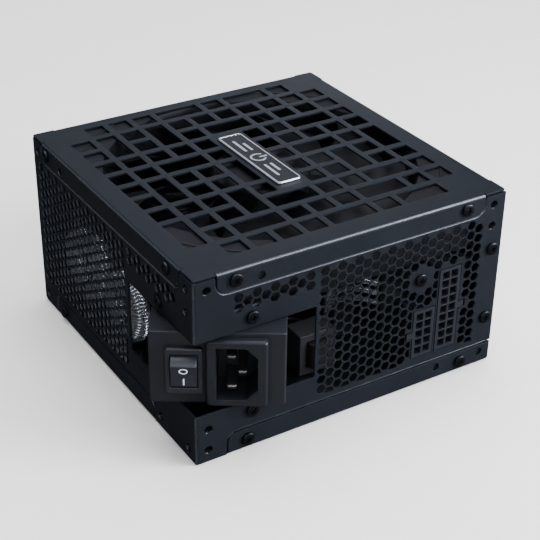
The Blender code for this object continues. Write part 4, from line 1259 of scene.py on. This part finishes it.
def build_block(sizes):
    low, high = block_levels()
    half = sizes.plate_width / 2
    wall = 2 * MM
    soft = sizes.corner
    shape = bmesh.new()
    levels = ((soft, low), (soft * 0.3, low + soft * 0.3), (0, low + soft), (0, high - soft),
              (soft * 0.3, high - soft * 0.3), (soft, high))
    rings = []
    for inset, z in levels:
        outline = rounded(-half + inset, -sizes.plate_reach + inset, half - inset, sizes.back,
                          (soft + 0.3 * MM, soft + 0.3 * MM, 0, 0), 6)
        rings.append([(x, y, z) for x, y in outline])
    loft(shape, rings)
    hollow = bmesh.new()
    box(hollow, (-half + wall, -sizes.plate_reach + wall, low + wall),
        (half - wall, sizes.back + 2 * MM, high - wall))
    shape = carve(shape, hollow)
    tool = bmesh.new()
    middle = (low + high) / 2
    for (width, height), spot in (((20.6, 27.4), (sizes.inlet_x, middle - sizes.inlet_drop)),
                                  ((13.6, 20.0), (sizes.switch_x, middle - sizes.switch_drop))):
        prism(tool, centred(width * MM, height * MM, spot), sizes.plate_reach - 3 * MM,
              sizes.plate_reach + 1 * MM, THROUGH)
    shape = carve(shape, tool)
    foot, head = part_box("inlet_housing")
    for start, end in ((high - 1 * MM, head.z), (foot.z, low + 1 * MM)):
        pin = bmesh.new()
        lathe(pin, [(0, start), (2.9 * MM, start), (3 * MM, start + 0.2 * MM), (3 * MM, end - 0.2 * MM),
                    (2.8 * MM, end), (0, end)], 32)
        join(shape, pin)
    place(shape, BLOCK)
    publish("inlet_moulding", shape, "grained_moulding", "inlet", ("inlet_housing",))

    shape = bmesh.new()
    start = sizes.back + 0.3 * MM
    box(shape, (-half, start, low), (half, start + 1.5 * MM, high))
    tool = bmesh.new()
    prism(tool, ring(5 * MM, 32, (-6 * MM, middle)), -start - 5 * MM, -start + 5 * MM, THROUGH)
    shape = carve(shape, tool)
    place(shape, BLOCK)
    publish("inlet_back_plate", shape, "grained_moulding", "inlet", ("inlet_rear_cover",),
            0.3 * MM)


def stepped_rings(width, height, spot, radius, levels):
    """Rings of a moulded frame, from (inset, distance out from the pin) pairs."""
    return [[(x, -out, z) for x, z in centred(width - 2 * inset, height - 2 * inset, spot,
                                               max(radius - inset, 0.15 * MM), 6)] for inset, out in levels]


def build_mains_socket(sizes):
    low, high = block_levels()
    spot = (sizes.inlet_x, (low + high) / 2 - sizes.inlet_drop)
    seat = sizes.plate_reach + 0.12 * MM
    face = sizes.plate_reach + 3.5 * MM
    shape = bmesh.new()
    levels = ((2.3 * MM, sizes.plate_reach - 18 * MM), (2.3 * MM, seat), (0, seat), (0, face - 1.5 * MM),
              (0.12 * MM, face - 1.2 * MM), (0.55 * MM, face - 0.35 * MM), (0.8 * MM, face - 0.1 * MM),
              (1.2 * MM, face))
    loft(shape, stepped_rings(24.5 * MM, 31.0 * MM, spot, 1.8 * MM, levels))
    well = bmesh.new()
    half_w = 8.0 * MM
    half_h = 11.9 * MM
    cut = 4.5 * MM
    x, z = spot
    outline = [(x - half_w, z - half_h), (x + half_w - cut, z - half_h), (x + half_w, z - half_h + cut),
               (x + half_w, z + half_h - cut), (x + half_w - cut, z + half_h), (x - half_w, z + half_h)]
    middle = Vector((x, z))
    rings = []
    levels = ((0, face - 16.5 * MM), (0, face - 0.5 * MM), (0.35 * MM, face), (0.35 * MM, face + 1 * MM))
    for grow, out in levels:
        ring_points = []
        for point in outline:
            away = Vector(point) - middle
            spread_by = Vector((math.copysign(grow, away.x), math.copysign(grow, away.y)))
            ring_points.append((point[0] + spread_by.x, -out, point[1] + spread_by.y))
        rings.append(ring_points)
    loft(well, rings)
    shape = carve(shape, well)
    place(shape, BLOCK)
    publish("mains_inlet", shape, "satin_moulding", "inlet", ("inlet_socket",))
    for name, dx, dz in (("live_pin", -2.1, 7.0), ("neutral_pin", -2.1, -7.0), ("earth_pin", 2.2, 0.0)):
        shape = bmesh.new()
        centre = (x + dx * MM, z + dz * MM)
        tip = face - 1.7 * MM
        levels = ((0, sizes.plate_reach - 22 * MM), (0, tip - 1.2 * MM), (0.12 * MM, tip - 0.6 * MM),
                  (0.45 * MM, tip - 0.08 * MM), (0.62 * MM, tip))
        rings = [[(px, -out, pz) for px, pz in centred((4.0 * MM - 2 * inset), (2.0 * MM - 2 * inset), centre,
                                                       0.3 * MM, 3)] for inset, out in levels]
        loft(shape, rings)
        place(shape, BLOCK)
        publish(name.replace("_pin", "_blade"), shape, "nickel_plate", "inlet", (name,))


def build_switch(sizes):
    low, high = block_levels()
    spot = (sizes.switch_x, (low + high) / 2 - sizes.switch_drop)
    seat = sizes.plate_reach + 0.12 * MM
    face = sizes.plate_reach + 2.0 * MM
    axis = face - 3.0 * MM
    shape = bmesh.new()
    levels = ((1.05 * MM, sizes.plate_reach - 15 * MM), (1.05 * MM, seat), (0, seat), (0, face - 0.75 * MM),
              (0.18 * MM, face - 0.3 * MM), (0.6 * MM, face - 0.04 * MM), (0.9 * MM, face))
    loft(shape, stepped_rings(15.0 * MM, 21.5 * MM, spot, 1.3 * MM, levels))
    well = bmesh.new()
    levels = ((0, axis - 7.8 * MM), (0, face - 0.35 * MM), (0.3 * MM, face), (0.3 * MM, face + MM))
    rings = [[(x, -out, z) for x, z in centred(10.8 * MM + 2 * grow, 15.6 * MM + 2 * grow, spot, 0.4 * MM, 4)]
             for grow, out in levels]
    loft(well, rings)
    shape = carve(shape, well)
    place(shape, BLOCK)
    publish("switch_bezel", shape, "switch_moulding", "inlet", ("switch_case",))

    turn = Matrix.Translation((spot[0], -axis, spot[1])) @ Matrix.Rotation(sizes.rocker_tilt, 4, "X")
    radius = sizes.rocker_r
    half = math.radians(46)
    back = math.radians(125)
    hollow = 0.55 * MM
    chord = radius * math.sin(half)

    def dished(z):
        return -radius * math.cos(half) + hollow * math.cos(math.pi / 2 * z / chord)

    face_points = []
    for step in range(13):
        z = chord * (1 - step / 6)
        face_points.append((dished(z), z))
    angles = [half + (back - half) * step / 10 for step in range(1, 11)]
    end_arc = [(-radius * math.cos(a), -radius * math.sin(a)) for a in angles]
    outline = face_points + end_arc + [(x, -z) for x, z in end_arc[::-1]]
    shape = bmesh.new()
    width = 5.2 * MM
    prism(shape, outline, -width, width, ALONG)
    place(shape, BLOCK @ turn)
    publish("rocker_cap", shape, "switch_moulding", "rocker", ("switch_rocker",),
            0.35 * MM, 30)
    marks = bmesh.new()
    rise = chord * 0.53
    lift = 0.1 * MM

    def on_face(x, z, up):
        return (x, dished(z) - up, z)

    rings = [[on_face(x * (1.75 * MM - inset), rise + y * (1.6 * MM - inset), up) for x, y in ring(1.0, 32)]
             for inset, up in ((0, -lift), (0, lift), (0.45 * MM, lift), (0.45 * MM, -lift))]
    loft(marks, rings, closed=True)
    bar = [(side * 0.27 * MM, z * MM) for side, levels in ((-1, range(-36, -1, 7)), (1, range(-1, -37, -7)))
           for z in [-rise / MM + (level + 18.5) / 10 for level in levels]]
    loft(marks, [[on_face(x, z, up) for x, z in bar] for up in (-lift, lift)])
    place(marks, BLOCK @ turn)
    publish("rocker_marks", marks, "pale_print", "rocker", ())


# Lead sockets

def build_lead_socket(socket):
    name, side, x, z, columns, rows = socket[:6]
    across, up = socket_pitch(columns)
    spots = [(x + (column - (columns - 1) / 2) * across, z + (row - (rows - 1) / 2) * up)
             for column in range(columns) for row in range(rows)]
    cells = []
    for index, spot in enumerate(spots):
        corner = 0.9 * MM if (index + index // rows) % 2 else 0.15 * MM
        cells.append(rounded(spot[0] - CELL / 2, spot[1] - CELL / 2, spot[0] + CELL / 2, spot[1] + CELL / 2,
                             (corner, corner, 0.15 * MM, 0.15 * MM), 2))
    shape = blank(socket_outline(socket), cells, 0.2 * MM, SOCKET_DEPTH - 1 * MM)
    floor = bmesh.new()
    x0, z0, x1, z1 = socket_body(socket)
    inset = 0.3 * MM
    box(floor, (x0 + inset, z0 + inset, -SOCKET_DEPTH), (x1 - inset, z1 - inset, -SOCKET_DEPTH + 1.2 * MM))
    join(shape, floor)
    place(shape, wall_frame(side) @ THROUGH @ Matrix.Translation((0, 0, 0.2 * MM)))
    publish(name.replace("socket", "header"), shape, "satin_moulding", "root", (name,))
    contacts = bmesh.new()
    for spot in spots:
        for shift in (-0.75 * MM, 0.75 * MM):
            box(contacts, (spot[0] - 0.85 * MM, spot[1] + shift - 0.2 * MM, -SOCKET_DEPTH + 1 * MM),
                (spot[0] + 0.85 * MM, spot[1] + shift + 0.2 * MM, -3.2 * MM))
    place(contacts, wall_frame(side) @ THROUGH)
    publish(name.replace("socket", "contacts"), contacts, "tin_plate", "root", ())


# Electronics

def build_wound_ring(node, wire, turns):
    """Ring core with side-by-side turns of tinned wire, open at the two leads."""
    low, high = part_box(node)
    centre = (low + high) / 2
    core = (high.x - low.x) / 2 - wire
    mean = (high.z - low.z) / 2 - core - wire
    upright = Matrix.Translation(centre) @ Matrix.Rotation(math.radians(90), 4, "Y")
    shape = bmesh.new()
    lathe(shape, [(mean + px, py) for px, py in ring(core - 0.1 * MM, 16)], 64, upright, closed=True)
    publish(node + "_core", shape, "ferrite", "root", ())
    shape = bmesh.new()
    for index in range(turns):
        angle = 2 * math.pi * index / turns
        if abs(math.sin(angle / 2)) < 0.12:
            continue
        rings = []
        for step in range(16):
            wrap = 2 * math.pi * step / 16
            skew = angle + 0.5 * math.sin(wrap) / turns
            around = Vector((math.cos(skew), math.sin(skew), 0))
            spoke = around * math.cos(wrap) + Vector((0, 0, math.sin(wrap)))
            spine = around * mean + spoke * (core + wire * 0.5)
            side = Vector((-math.sin(skew), math.cos(skew), 0))
            rings.append([spine + (spoke * px + side * py) for px, py in ring(wire / 2, 6)])
        loft(shape, rings, upright, closed=True)
    publish(node + "_winding", shape, "tinned_wire", "root", (node,), smooth=70)


def build_capacitor(node):
    low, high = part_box(node)
    radius = (high.x - low.x) / 2
    tall = high.z - low.z
    centre = Vector(((low.x + high.x) / 2, (low.y + high.y) / 2, low.z))
    where = Matrix.Translation(centre)
    shape = bmesh.new()
    groove = radius * 0.93
    profile = [(0, 0), (radius - 0.3 * MM, 0), (radius, 0.3 * MM), (radius, 3 * MM), (groove, 3.8 * MM),
               (radius, 4.6 * MM), (radius, tall - 0.8 * MM), (radius - 0.8 * MM, tall - 0.05 * MM),
               (radius * 0.82, tall), (radius * 0.8, tall - 0.2 * MM), (0, tall - 0.2 * MM)]
    lathe(shape, profile, 48, where)
    publish(node + "_sleeve", shape, "shrunk_sleeve", "root", (node,))
    shape = bmesh.new()
    lathe(shape, [(0, tall - 0.15 * MM), (radius * 0.8, tall - 0.15 * MM), (radius * 0.79, tall - 0.05 * MM),
                  (0, tall - 0.05 * MM)], 48, where)
    publish(node + "_end", shape, "aluminium", "root", ())


def build_transformer(node):
    """Ferrite halves round a taped winding."""
    low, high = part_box(node)
    centre = (low + high) / 2
    size = high - low
    shape = bmesh.new()
    box(shape, (low.x, centre.y - size.y * 0.3, low.z), (high.x, centre.y + size.y * 0.3, high.z))
    tool = bmesh.new()
    box(tool, (low.x + size.x * 0.2, low.y - MM, low.z + size.z * 0.17),
        (high.x - size.x * 0.2, high.y + MM, high.z - size.z * 0.17))
    shape = carve(shape, tool)
    publish(node + "_core", shape, "ferrite", "root", (node,), 0.4 * MM)
    shape = bmesh.new()
    outline = centred(size.x * 0.56, size.y * 0.96, centre, 3 * MM, 6)
    prism(shape, outline, low.z + size.z * 0.2, high.z - size.z * 0.2)
    publish(node + "_tape", shape, "polyester_tape", "root", (), 0.3 * MM)


def build_leads():
    """Leads from the block's back plate down to the board."""
    low, high = block_levels()
    middle = (low + high) / 2
    start = BLOCK @ Vector((-6 * MM, 9.0 * MM, middle))
    end = Vector((0.004, -0.034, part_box("main_board")[1].z + 0.5 * MM))
    for index, name in enumerate(("live_lead", "neutral_lead", "earth_lead")):
        shift = Vector(((index - 1) * 2.4 * MM, (index % 2) * 2.0 * MM, 0))
        knots = [start + Vector((0, 0, (index - 1) * 2.4 * MM)),
                 BLOCK @ Vector((-6 * MM, 17 * MM, middle + (index - 1) * 2.4 * MM)),
                 BLOCK @ Vector((2 * MM, 26 * MM, middle - 4 * MM)) + shift,
                 BLOCK @ Vector((18 * MM, 29 * MM, middle - 12 * MM)) + shift,
                 end + shift + Vector((0, 0, 10 * MM)), end + shift]
        item = publish_wire(name, knots, 1.15 * MM, 10, "lead_insulation")
        tuple(knots[1])
        tuple(knots[4])
        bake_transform(item)


def build_output_links():
    """Tinned copper links from the output side up to the two socket boards."""
    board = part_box("main_board")[1].z
    low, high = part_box("front_socket_board")
    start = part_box("secondary_heatsink")[0] + Vector((-7.5 * MM, -3.5 * MM, 0))
    for index in range(3):
        rise = board + (25 + 4.5 * index) * MM
        knots = [Vector((start.x, start.y, board)), Vector((start.x, start.y - index * MM, rise - 7 * MM)),
                 Vector((start.x + 3 * MM, start.y - 7 * MM, rise + 3 * MM)),
                 Vector((low.x - 4 * MM, high.y + 9 * MM, rise + 6 * MM)),
                 Vector((low.x + 1.5 * MM, high.y + 2 * MM, rise + 6 * MM)),
                 Vector((low.x + 3 * MM, high.y, rise + 6 * MM))]
        item = publish_wire(f"output_link_{index + 1}", knots, 1.1 * MM, 12, "tinned_wire")
        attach(item, "root")
    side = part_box("side_socket_board")
    shape = bmesh.new()
    near = side[0].y - 6.5 * MM
    prism(shape, rounded(near, board, side[0].y - 0.5 * MM, side[1].z - 12 * MM, (0, 0, 2 * MM, 2 * MM)),
          side[1].x + 0.2 * MM, side[1].x + 1.4 * MM, ALONG)
    publish("output_bus_bar", shape, "tinned_wire", "root", (), 0.2 * MM)


def smooth_path(knots, steps):
    """Catmull-Rom curve through the knots."""
    padded = [knots[0] * 2 - knots[1], *knots, knots[-1] * 2 - knots[-2]]
    points = []
    for p0, p1, p2, p3 in zip(padded, padded[1:], padded[2:], padded[3:]):
        for step in range(steps):
            t = step / steps
            points.append(0.5 * (2 * p1 + (p2 - p0) * t + (2 * p0 - 5 * p1 + 4 * p2 - p3) * t * t
                                 + (3 * p1 - p0 - 3 * p2 + p3) * t ** 3))
    return points + [knots[-1]]


def publish_wire(name, knots, radius, count, finish_name):
    """Makes a round wire through the knots, not yet joined to a body."""
    shape = bmesh.new()
    tube(shape, smooth_path(knots, 8), radius, count)
    bmesh.ops.recalc_face_normals(shape, faces=shape.faces)
    return add_item(name, shape, [finish(finish_name)])


# Finishes

FINISHES = {}


def add_node(tree, kind, inputs=None, links=None, **settings):
    """Adds a shader node with its settings, its values and its incoming links."""
    node = tree.nodes.new(kind)
    for key, value in settings.items():
        setattr(node, key, value)
    for key, value in (inputs or {}).items():
        node.inputs[key].default_value = value
    for key, source in (links or {}).items():
        tree.links.new(source, node.inputs[key])
    return node


def surface(name, base, roughness, metallic=0.0, grain=0.5 * MM, bump=0.0, mottle=0.0, rough_spread=0.0,
            drift=18 * MM, **sockets):
    """Principled surface with a grain of a real size, a slow drift of shade and a fine bump."""
    material = bpy.data.materials.new(name)
    material.use_nodes = True
    tree = material.node_tree
    tree.nodes.clear()
    shader = add_node(tree, "ShaderNodeBsdfPrincipled",
                      {"Base Color": (*base, 1), "Roughness": roughness, "Metallic": metallic, **sockets})
    add_node(tree, "ShaderNodeOutputMaterial", links={"Surface": shader.outputs[0]})
    spot = add_node(tree, "ShaderNodeTexCoord").outputs["Object"]
    if mottle:
        slow = add_node(tree, "ShaderNodeTexNoise", {"Scale": 1 / drift, "Detail": 4.0}, {"Vector": spot})
        fine = add_node(tree, "ShaderNodeTexNoise", {"Scale": 1 / (2 * grain), "Detail": 2.0},
                        {"Vector": spot})
        both = add_node(tree, "ShaderNodeMath", {}, {0: slow.outputs["Fac"], 1: fine.outputs["Fac"]},
                        operation="MULTIPLY")
        dark = tuple(v * (1 - mottle) for v in base)
        light = tuple(min(v * (1 + mottle), 1) for v in base)
        shade = add_node(tree, "ShaderNodeValToRGB", links={"Fac": both.outputs[0]})
        shade.color_ramp.elements[0].position = 0.1
        shade.color_ramp.elements[0].color = (*dark, 1)
        shade.color_ramp.elements[1].position = 0.42
        shade.color_ramp.elements[1].color = (*light, 1)
        tree.links.new(shade.outputs["Color"], shader.inputs["Base Color"])
    if rough_spread:
        patch = add_node(tree, "ShaderNodeTexNoise", {"Scale": 2.3 / drift, "Detail": 5.0}, {"Vector": spot})
        span = add_node(tree, "ShaderNodeMapRange",
                        {"To Min": roughness - rough_spread, "To Max": roughness + rough_spread},
                        {"Value": patch.outputs["Fac"]})
        tree.links.new(span.outputs["Result"], shader.inputs["Roughness"])
    if bump:
        bits = add_node(tree, "ShaderNodeTexNoise", {"Scale": 1 / grain, "Detail": 3.0, "Roughness": 0.6},
                        {"Vector": spot})
        relief = add_node(tree, "ShaderNodeBump", {"Strength": bump, "Distance": 0.1 * MM},
                          {"Height": bits.outputs["Fac"]})
        tree.links.new(relief.outputs["Normal"], shader.inputs["Normal"])
    return material


def powder_coat(colours):
    # Baked polyester powder on steel: an even satin black whose fine orange peel breaks up each
    # reflection. The real peel is about 0.3 mm; it is drawn at 0.6 mm so that it shows.
    return surface("powder_coat", colours.coat, 0.42, 0.0, 0.6 * MM, 0.32, 0.14, 0.05, IOR=1.2)


def powder_coat_painted_highlight(colours):
    # The same powder over punched edges and bends, with a smoother skin there; its colour is raised 2.6 times,
    # a painted highlight that draws the bright lines that outline each sheet.
    pale = tuple(2.6 * v for v in colours.coat)
    return surface("powder_coat_painted_highlight", pale, 0.27, 0.0, 0.6 * MM, 0.05, 0.1, 0.04, IOR=1.6)


def grained_moulding(colours):
    # Glass-filled nylon from an eroded mould: matt, with a fine even grain of about 0.4 mm.
    return surface("grained_moulding", colours.moulding, 0.46, 0.0, 0.4 * MM, 0.25, 0.1, 0.05, IOR=1.36)


def satin_moulding(colours):
    # Moulded PBT of the sockets: a smoother skin than the block's, with a soft sheen.
    return surface("satin_moulding", colours.moulding, 0.38, 0.0, 0.5 * MM, 0.12, 0.08, 0.04, IOR=1.28)


def switch_moulding(colours):
    # Polished mould tool on PC/ABS: semi-gloss, so the rocker's upper end picks up the light.
    return surface("switch_moulding", colours.rocker, 0.42, 0.0, 0.5 * MM, 0.08, 0.08, 0.05, IOR=1.5)


def fan_moulding(colours):
    # PBT with 30% glass: matt, with faint flow marks that run as a slow drift of shade.
    return surface("fan_moulding", colours.fan, 0.6, 0.0, 0.6 * MM, 0.15, 0.12, 0.06, 30 * MM, IOR=1.25)


def black_oxide(colours):
    # Black oxide on steel: dark metal with a slight oily sheen on the domed heads.
    return surface("black_oxide", colours.fastener, 0.32, 0.85, 0.5 * MM, 0.1, 0.12, 0.06)


def zinc_plate(colours):
    # Bright zinc on mild steel, with the faint spangle of a dip bath.
    return surface("zinc_plate", linear("#8f9296"), 0.35, 1.0, 2 * MM, 0.08, 0.12, 0.08, 6 * MM)


def bright_edge(colours):
    # Machined aluminium edge left bright after the face is coated.
    return surface("bright_edge", linear("#d5d8db"), 0.24, 1.0, 0.5 * MM, 0.05, 0.05, 0.04)


def badge_black(colours):
    # Black lacquer over the badge, smooth and deep.
    return surface("badge_black", linear("#0f1114"), 0.32, 0.0, 0.5 * MM, 0.04, 0.1, 0.03, IOR=1.25)


def nickel_plate(colours):
    # Nickel over brass pins, with fine draw marks; the colour is darkened well below bright nickel as painted
    # shade inside the socket's well.
    return surface("nickel_plate", linear("#84827f"), 0.36, 1.0, 0.6 * MM, 0.06, 0.08, 0.06)


def tin_plate(colours):
    # Tinned contacts, duller than nickel.
    return surface("tin_plate", linear("#a9abad"), 0.38, 1.0, 0.5 * MM, 0.05, 0.1, 0.05)


def pale_print(colours):
    # Pad-printed ink: flat and slightly rough.
    return surface("pale_print", colours.mark, 0.55, 0.0, 0.3 * MM, 0.1, 0.05, 0.03)


def solder_mask(colours):
    # Solder mask over etched copper, seen as a faint mottled relief. Its near-black colour is partly the mask's
    # own and partly painted shade of the closed case's inside.
    return surface("solder_mask", colours.board, 0.3, 0.0, 1.5 * MM, 0.25, 0.35, 0.06, 5 * MM, IOR=1.5)


def aluminium(colours):
    # Mill-finish extrusion with a soft, slightly patchy shine.
    return surface("aluminium", linear("#85888b"), 0.42, 1.0, 0.8 * MM, 0.1, 0.08, 0.07)


def tinned_wire(colours):
    # Tinned copper wire under clear enamel: pale and glossy, each turn catching its own highlight.
    return surface("tinned_wire", colours.wire, 0.26, 0.9, 0.8 * MM, 0.05, 0.12, 0.05, **{"Coat Weight": 0.4})


def ferrite(colours):
    # Sintered ferrite: dull charcoal with a coarse ground face.
    return surface("ferrite", linear("#1d1e21"), 0.62, 0.0, 0.7 * MM, 0.3, 0.15, 0.05)


def shrunk_sleeve(colours):
    # PVC sleeve shrunk on a can: smooth and glossy.
    return surface("shrunk_sleeve", linear("#1a1c26"), 0.24, 0.0, 0.8 * MM, 0.06, 0.08, 0.05, IOR=1.52)


def polyester_tape(colours):
    # Polyester tape round the windings, darkened to near-black as painted shade of the case's inside.
    return surface("polyester_tape", linear("#13120f"), 0.5, 0.0, 0.8 * MM, 0.08, 0.1, 0.05, IOR=1.5)


def lead_insulation(colours):
    # Black silicone rubber on stranded leads.
    return surface("lead_insulation", linear("#17181b"), 0.5, 0.0, 0.5 * MM, 0.08, 0.1, 0.05)


RECIPES = {recipe.__name__: recipe for recipe in (
    powder_coat, powder_coat_painted_highlight, grained_moulding, satin_moulding, switch_moulding, fan_moulding,
    black_oxide, zinc_plate, bright_edge, badge_black, nickel_plate, tin_plate, pale_print, solder_mask,
    aluminium, tinned_wire, ferrite, shrunk_sleeve, polyester_tape, lead_insulation)}


def finish(name):
    if name not in FINISHES:
        FINISHES[name] = RECIPES[name](bpy.context.scene.psu_colours)
    return FINISHES[name]


# Stage

STUDIO_TINT = "#eef2ff"
FLOOR_REACH = 2.3
FLOOR_RISE = 1.7
FLOOR_SWEEP = 0.7
FLOOR_START = 0.4
FLOOR_SEGMENTS = 96
FLOOR_DROP = 0.3 * MM

# Each softbox: its place, the height over the origin that it points at, its size in metres and its watts
LIGHTS = {
    "top_softbox": ((0.12, 0.15, 1.25), 0.05, (1.3, 1.1), 30.0),
    "back_softbox": ((0.5, 1.25, 0.75), 0.08, (0.9, 0.5), 1.4),
    "back_fill": ((0.9, 1.2, 0.22), 0.04, (0.5, 0.3), 1.6),
    "right_softbox": ((0.55, -0.5, 0.22), 0.04, (0.35, 0.35), 13.0),
    "front_strip": ((0.8, -0.9, 1.1), 0.05, (0.9, 0.3), 17.0),
    "brow_strip": ((-0.4, -0.95, 1.15), 0.05, (0.9, 0.12), 7.0),
    "front_fill": ((-0.45, -1.2, 0.4), 0.05, (0.6, 0.4), 5.5),
    "left_strip": ((-0.75, 0.98, 0.75), 0.06, (0.5, 0.25), 0.3),
}
AIR_STRENGTH = 0.08

LENS = 88.61
SENSOR = 36
CAMERA_PLACE = (-0.2727, -0.4444, 0.3372)
CAMERA_TURN = (59.574, -0.689, -31.649)


def area_light(name, location, aim_height, size, power):
    data = bpy.data.lights.new(name, "AREA")
    data.shape = "RECTANGLE"
    data.size, data.size_y = size
    data.energy = power
    data.color = linear(STUDIO_TINT)
    item = bpy.data.objects.new(name, data)
    item.location = location
    item.rotation_mode = "QUATERNION"
    item.rotation_quaternion = (Vector((0, 0, aim_height)) - Vector(location)).to_track_quat("-Z", "Y")
    bpy.context.scene.collection.objects.link(item)


def build_floor():
    """Pale round floor that sweeps up into a wall on every side."""
    shape = bmesh.new()
    bend = FLOOR_REACH - FLOOR_SWEEP
    profile = [(FLOOR_START, 0.0), (bend, 0.0)]
    profile += [(bend + FLOOR_SWEEP * math.sin(a), FLOOR_SWEEP - FLOOR_SWEEP * math.cos(a))
                for a in quarter(12)[1:]]
    profile.append((FLOOR_REACH, FLOOR_RISE))
    rows = [[shape.verts.new((x, y, z - FLOOR_DROP)) for x, y in ring(radius, FLOOR_SEGMENTS)]
            for radius, z in profile]
    shape.faces.new(rows[0])
    for first, second in zip(rows, rows[1:]):
        for index in range(FLOOR_SEGMENTS):
            after = (index + 1) % FLOOR_SEGMENTS
            shape.faces.new((first[index], second[index], second[after], first[after]))
    paper = surface("studio_floor", linear("#faf6ee"), 0.7, mottle=0.01, grain=4 * MM, drift=300 * MM)
    floor = add_item("floor", shape, [paper])
    # A staging trick: the floor is left out of mirror reflections, so the walls mirror the dark
    # studio and stay deep black.
    floor.visible_glossy = False


def build_stage(scene):
    build_floor()
    for name, values in LIGHTS.items():
        area_light(name, *values)

    world = bpy.data.worlds.new("studio_air")
    scene.world = world
    world.use_nodes = True
    air = world.node_tree.nodes["Background"].inputs
    air["Color"].default_value = (*linear(STUDIO_TINT), 1)
    air["Strength"].default_value = AIR_STRENGTH

    camera = bpy.data.cameras.new("camera")
    camera.lens = LENS
    camera.sensor_width = SENSOR
    item = bpy.data.objects.new("camera", camera)
    item.location = CAMERA_PLACE
    item.rotation_euler = [math.radians(angle) for angle in CAMERA_TURN]
    scene.collection.objects.link(item)
    scene.camera = item


def register():
    for name, group in GROUPS.items():
        bpy.utils.register_class(group)
        setattr(bpy.types.Scene, name, bpy.props.PointerProperty(type=group))
    for step in STEPS:
        bpy.utils.register_class(step)
    bpy.utils.register_class(VIEW3D_PT_power_supply)


def unregister():
    bpy.utils.unregister_class(VIEW3D_PT_power_supply)
    for step in reversed(STEPS):
        bpy.utils.unregister_class(step)
    for name, group in GROUPS.items():
        delattr(bpy.types.Scene, name)
        bpy.utils.unregister_class(group)


def main():
    register()
    for step in STEPS:
        group, call = step.bl_idname.split(".")
        getattr(getattr(bpy.ops, group), call)()


if __name__ == "__main__":
    main()
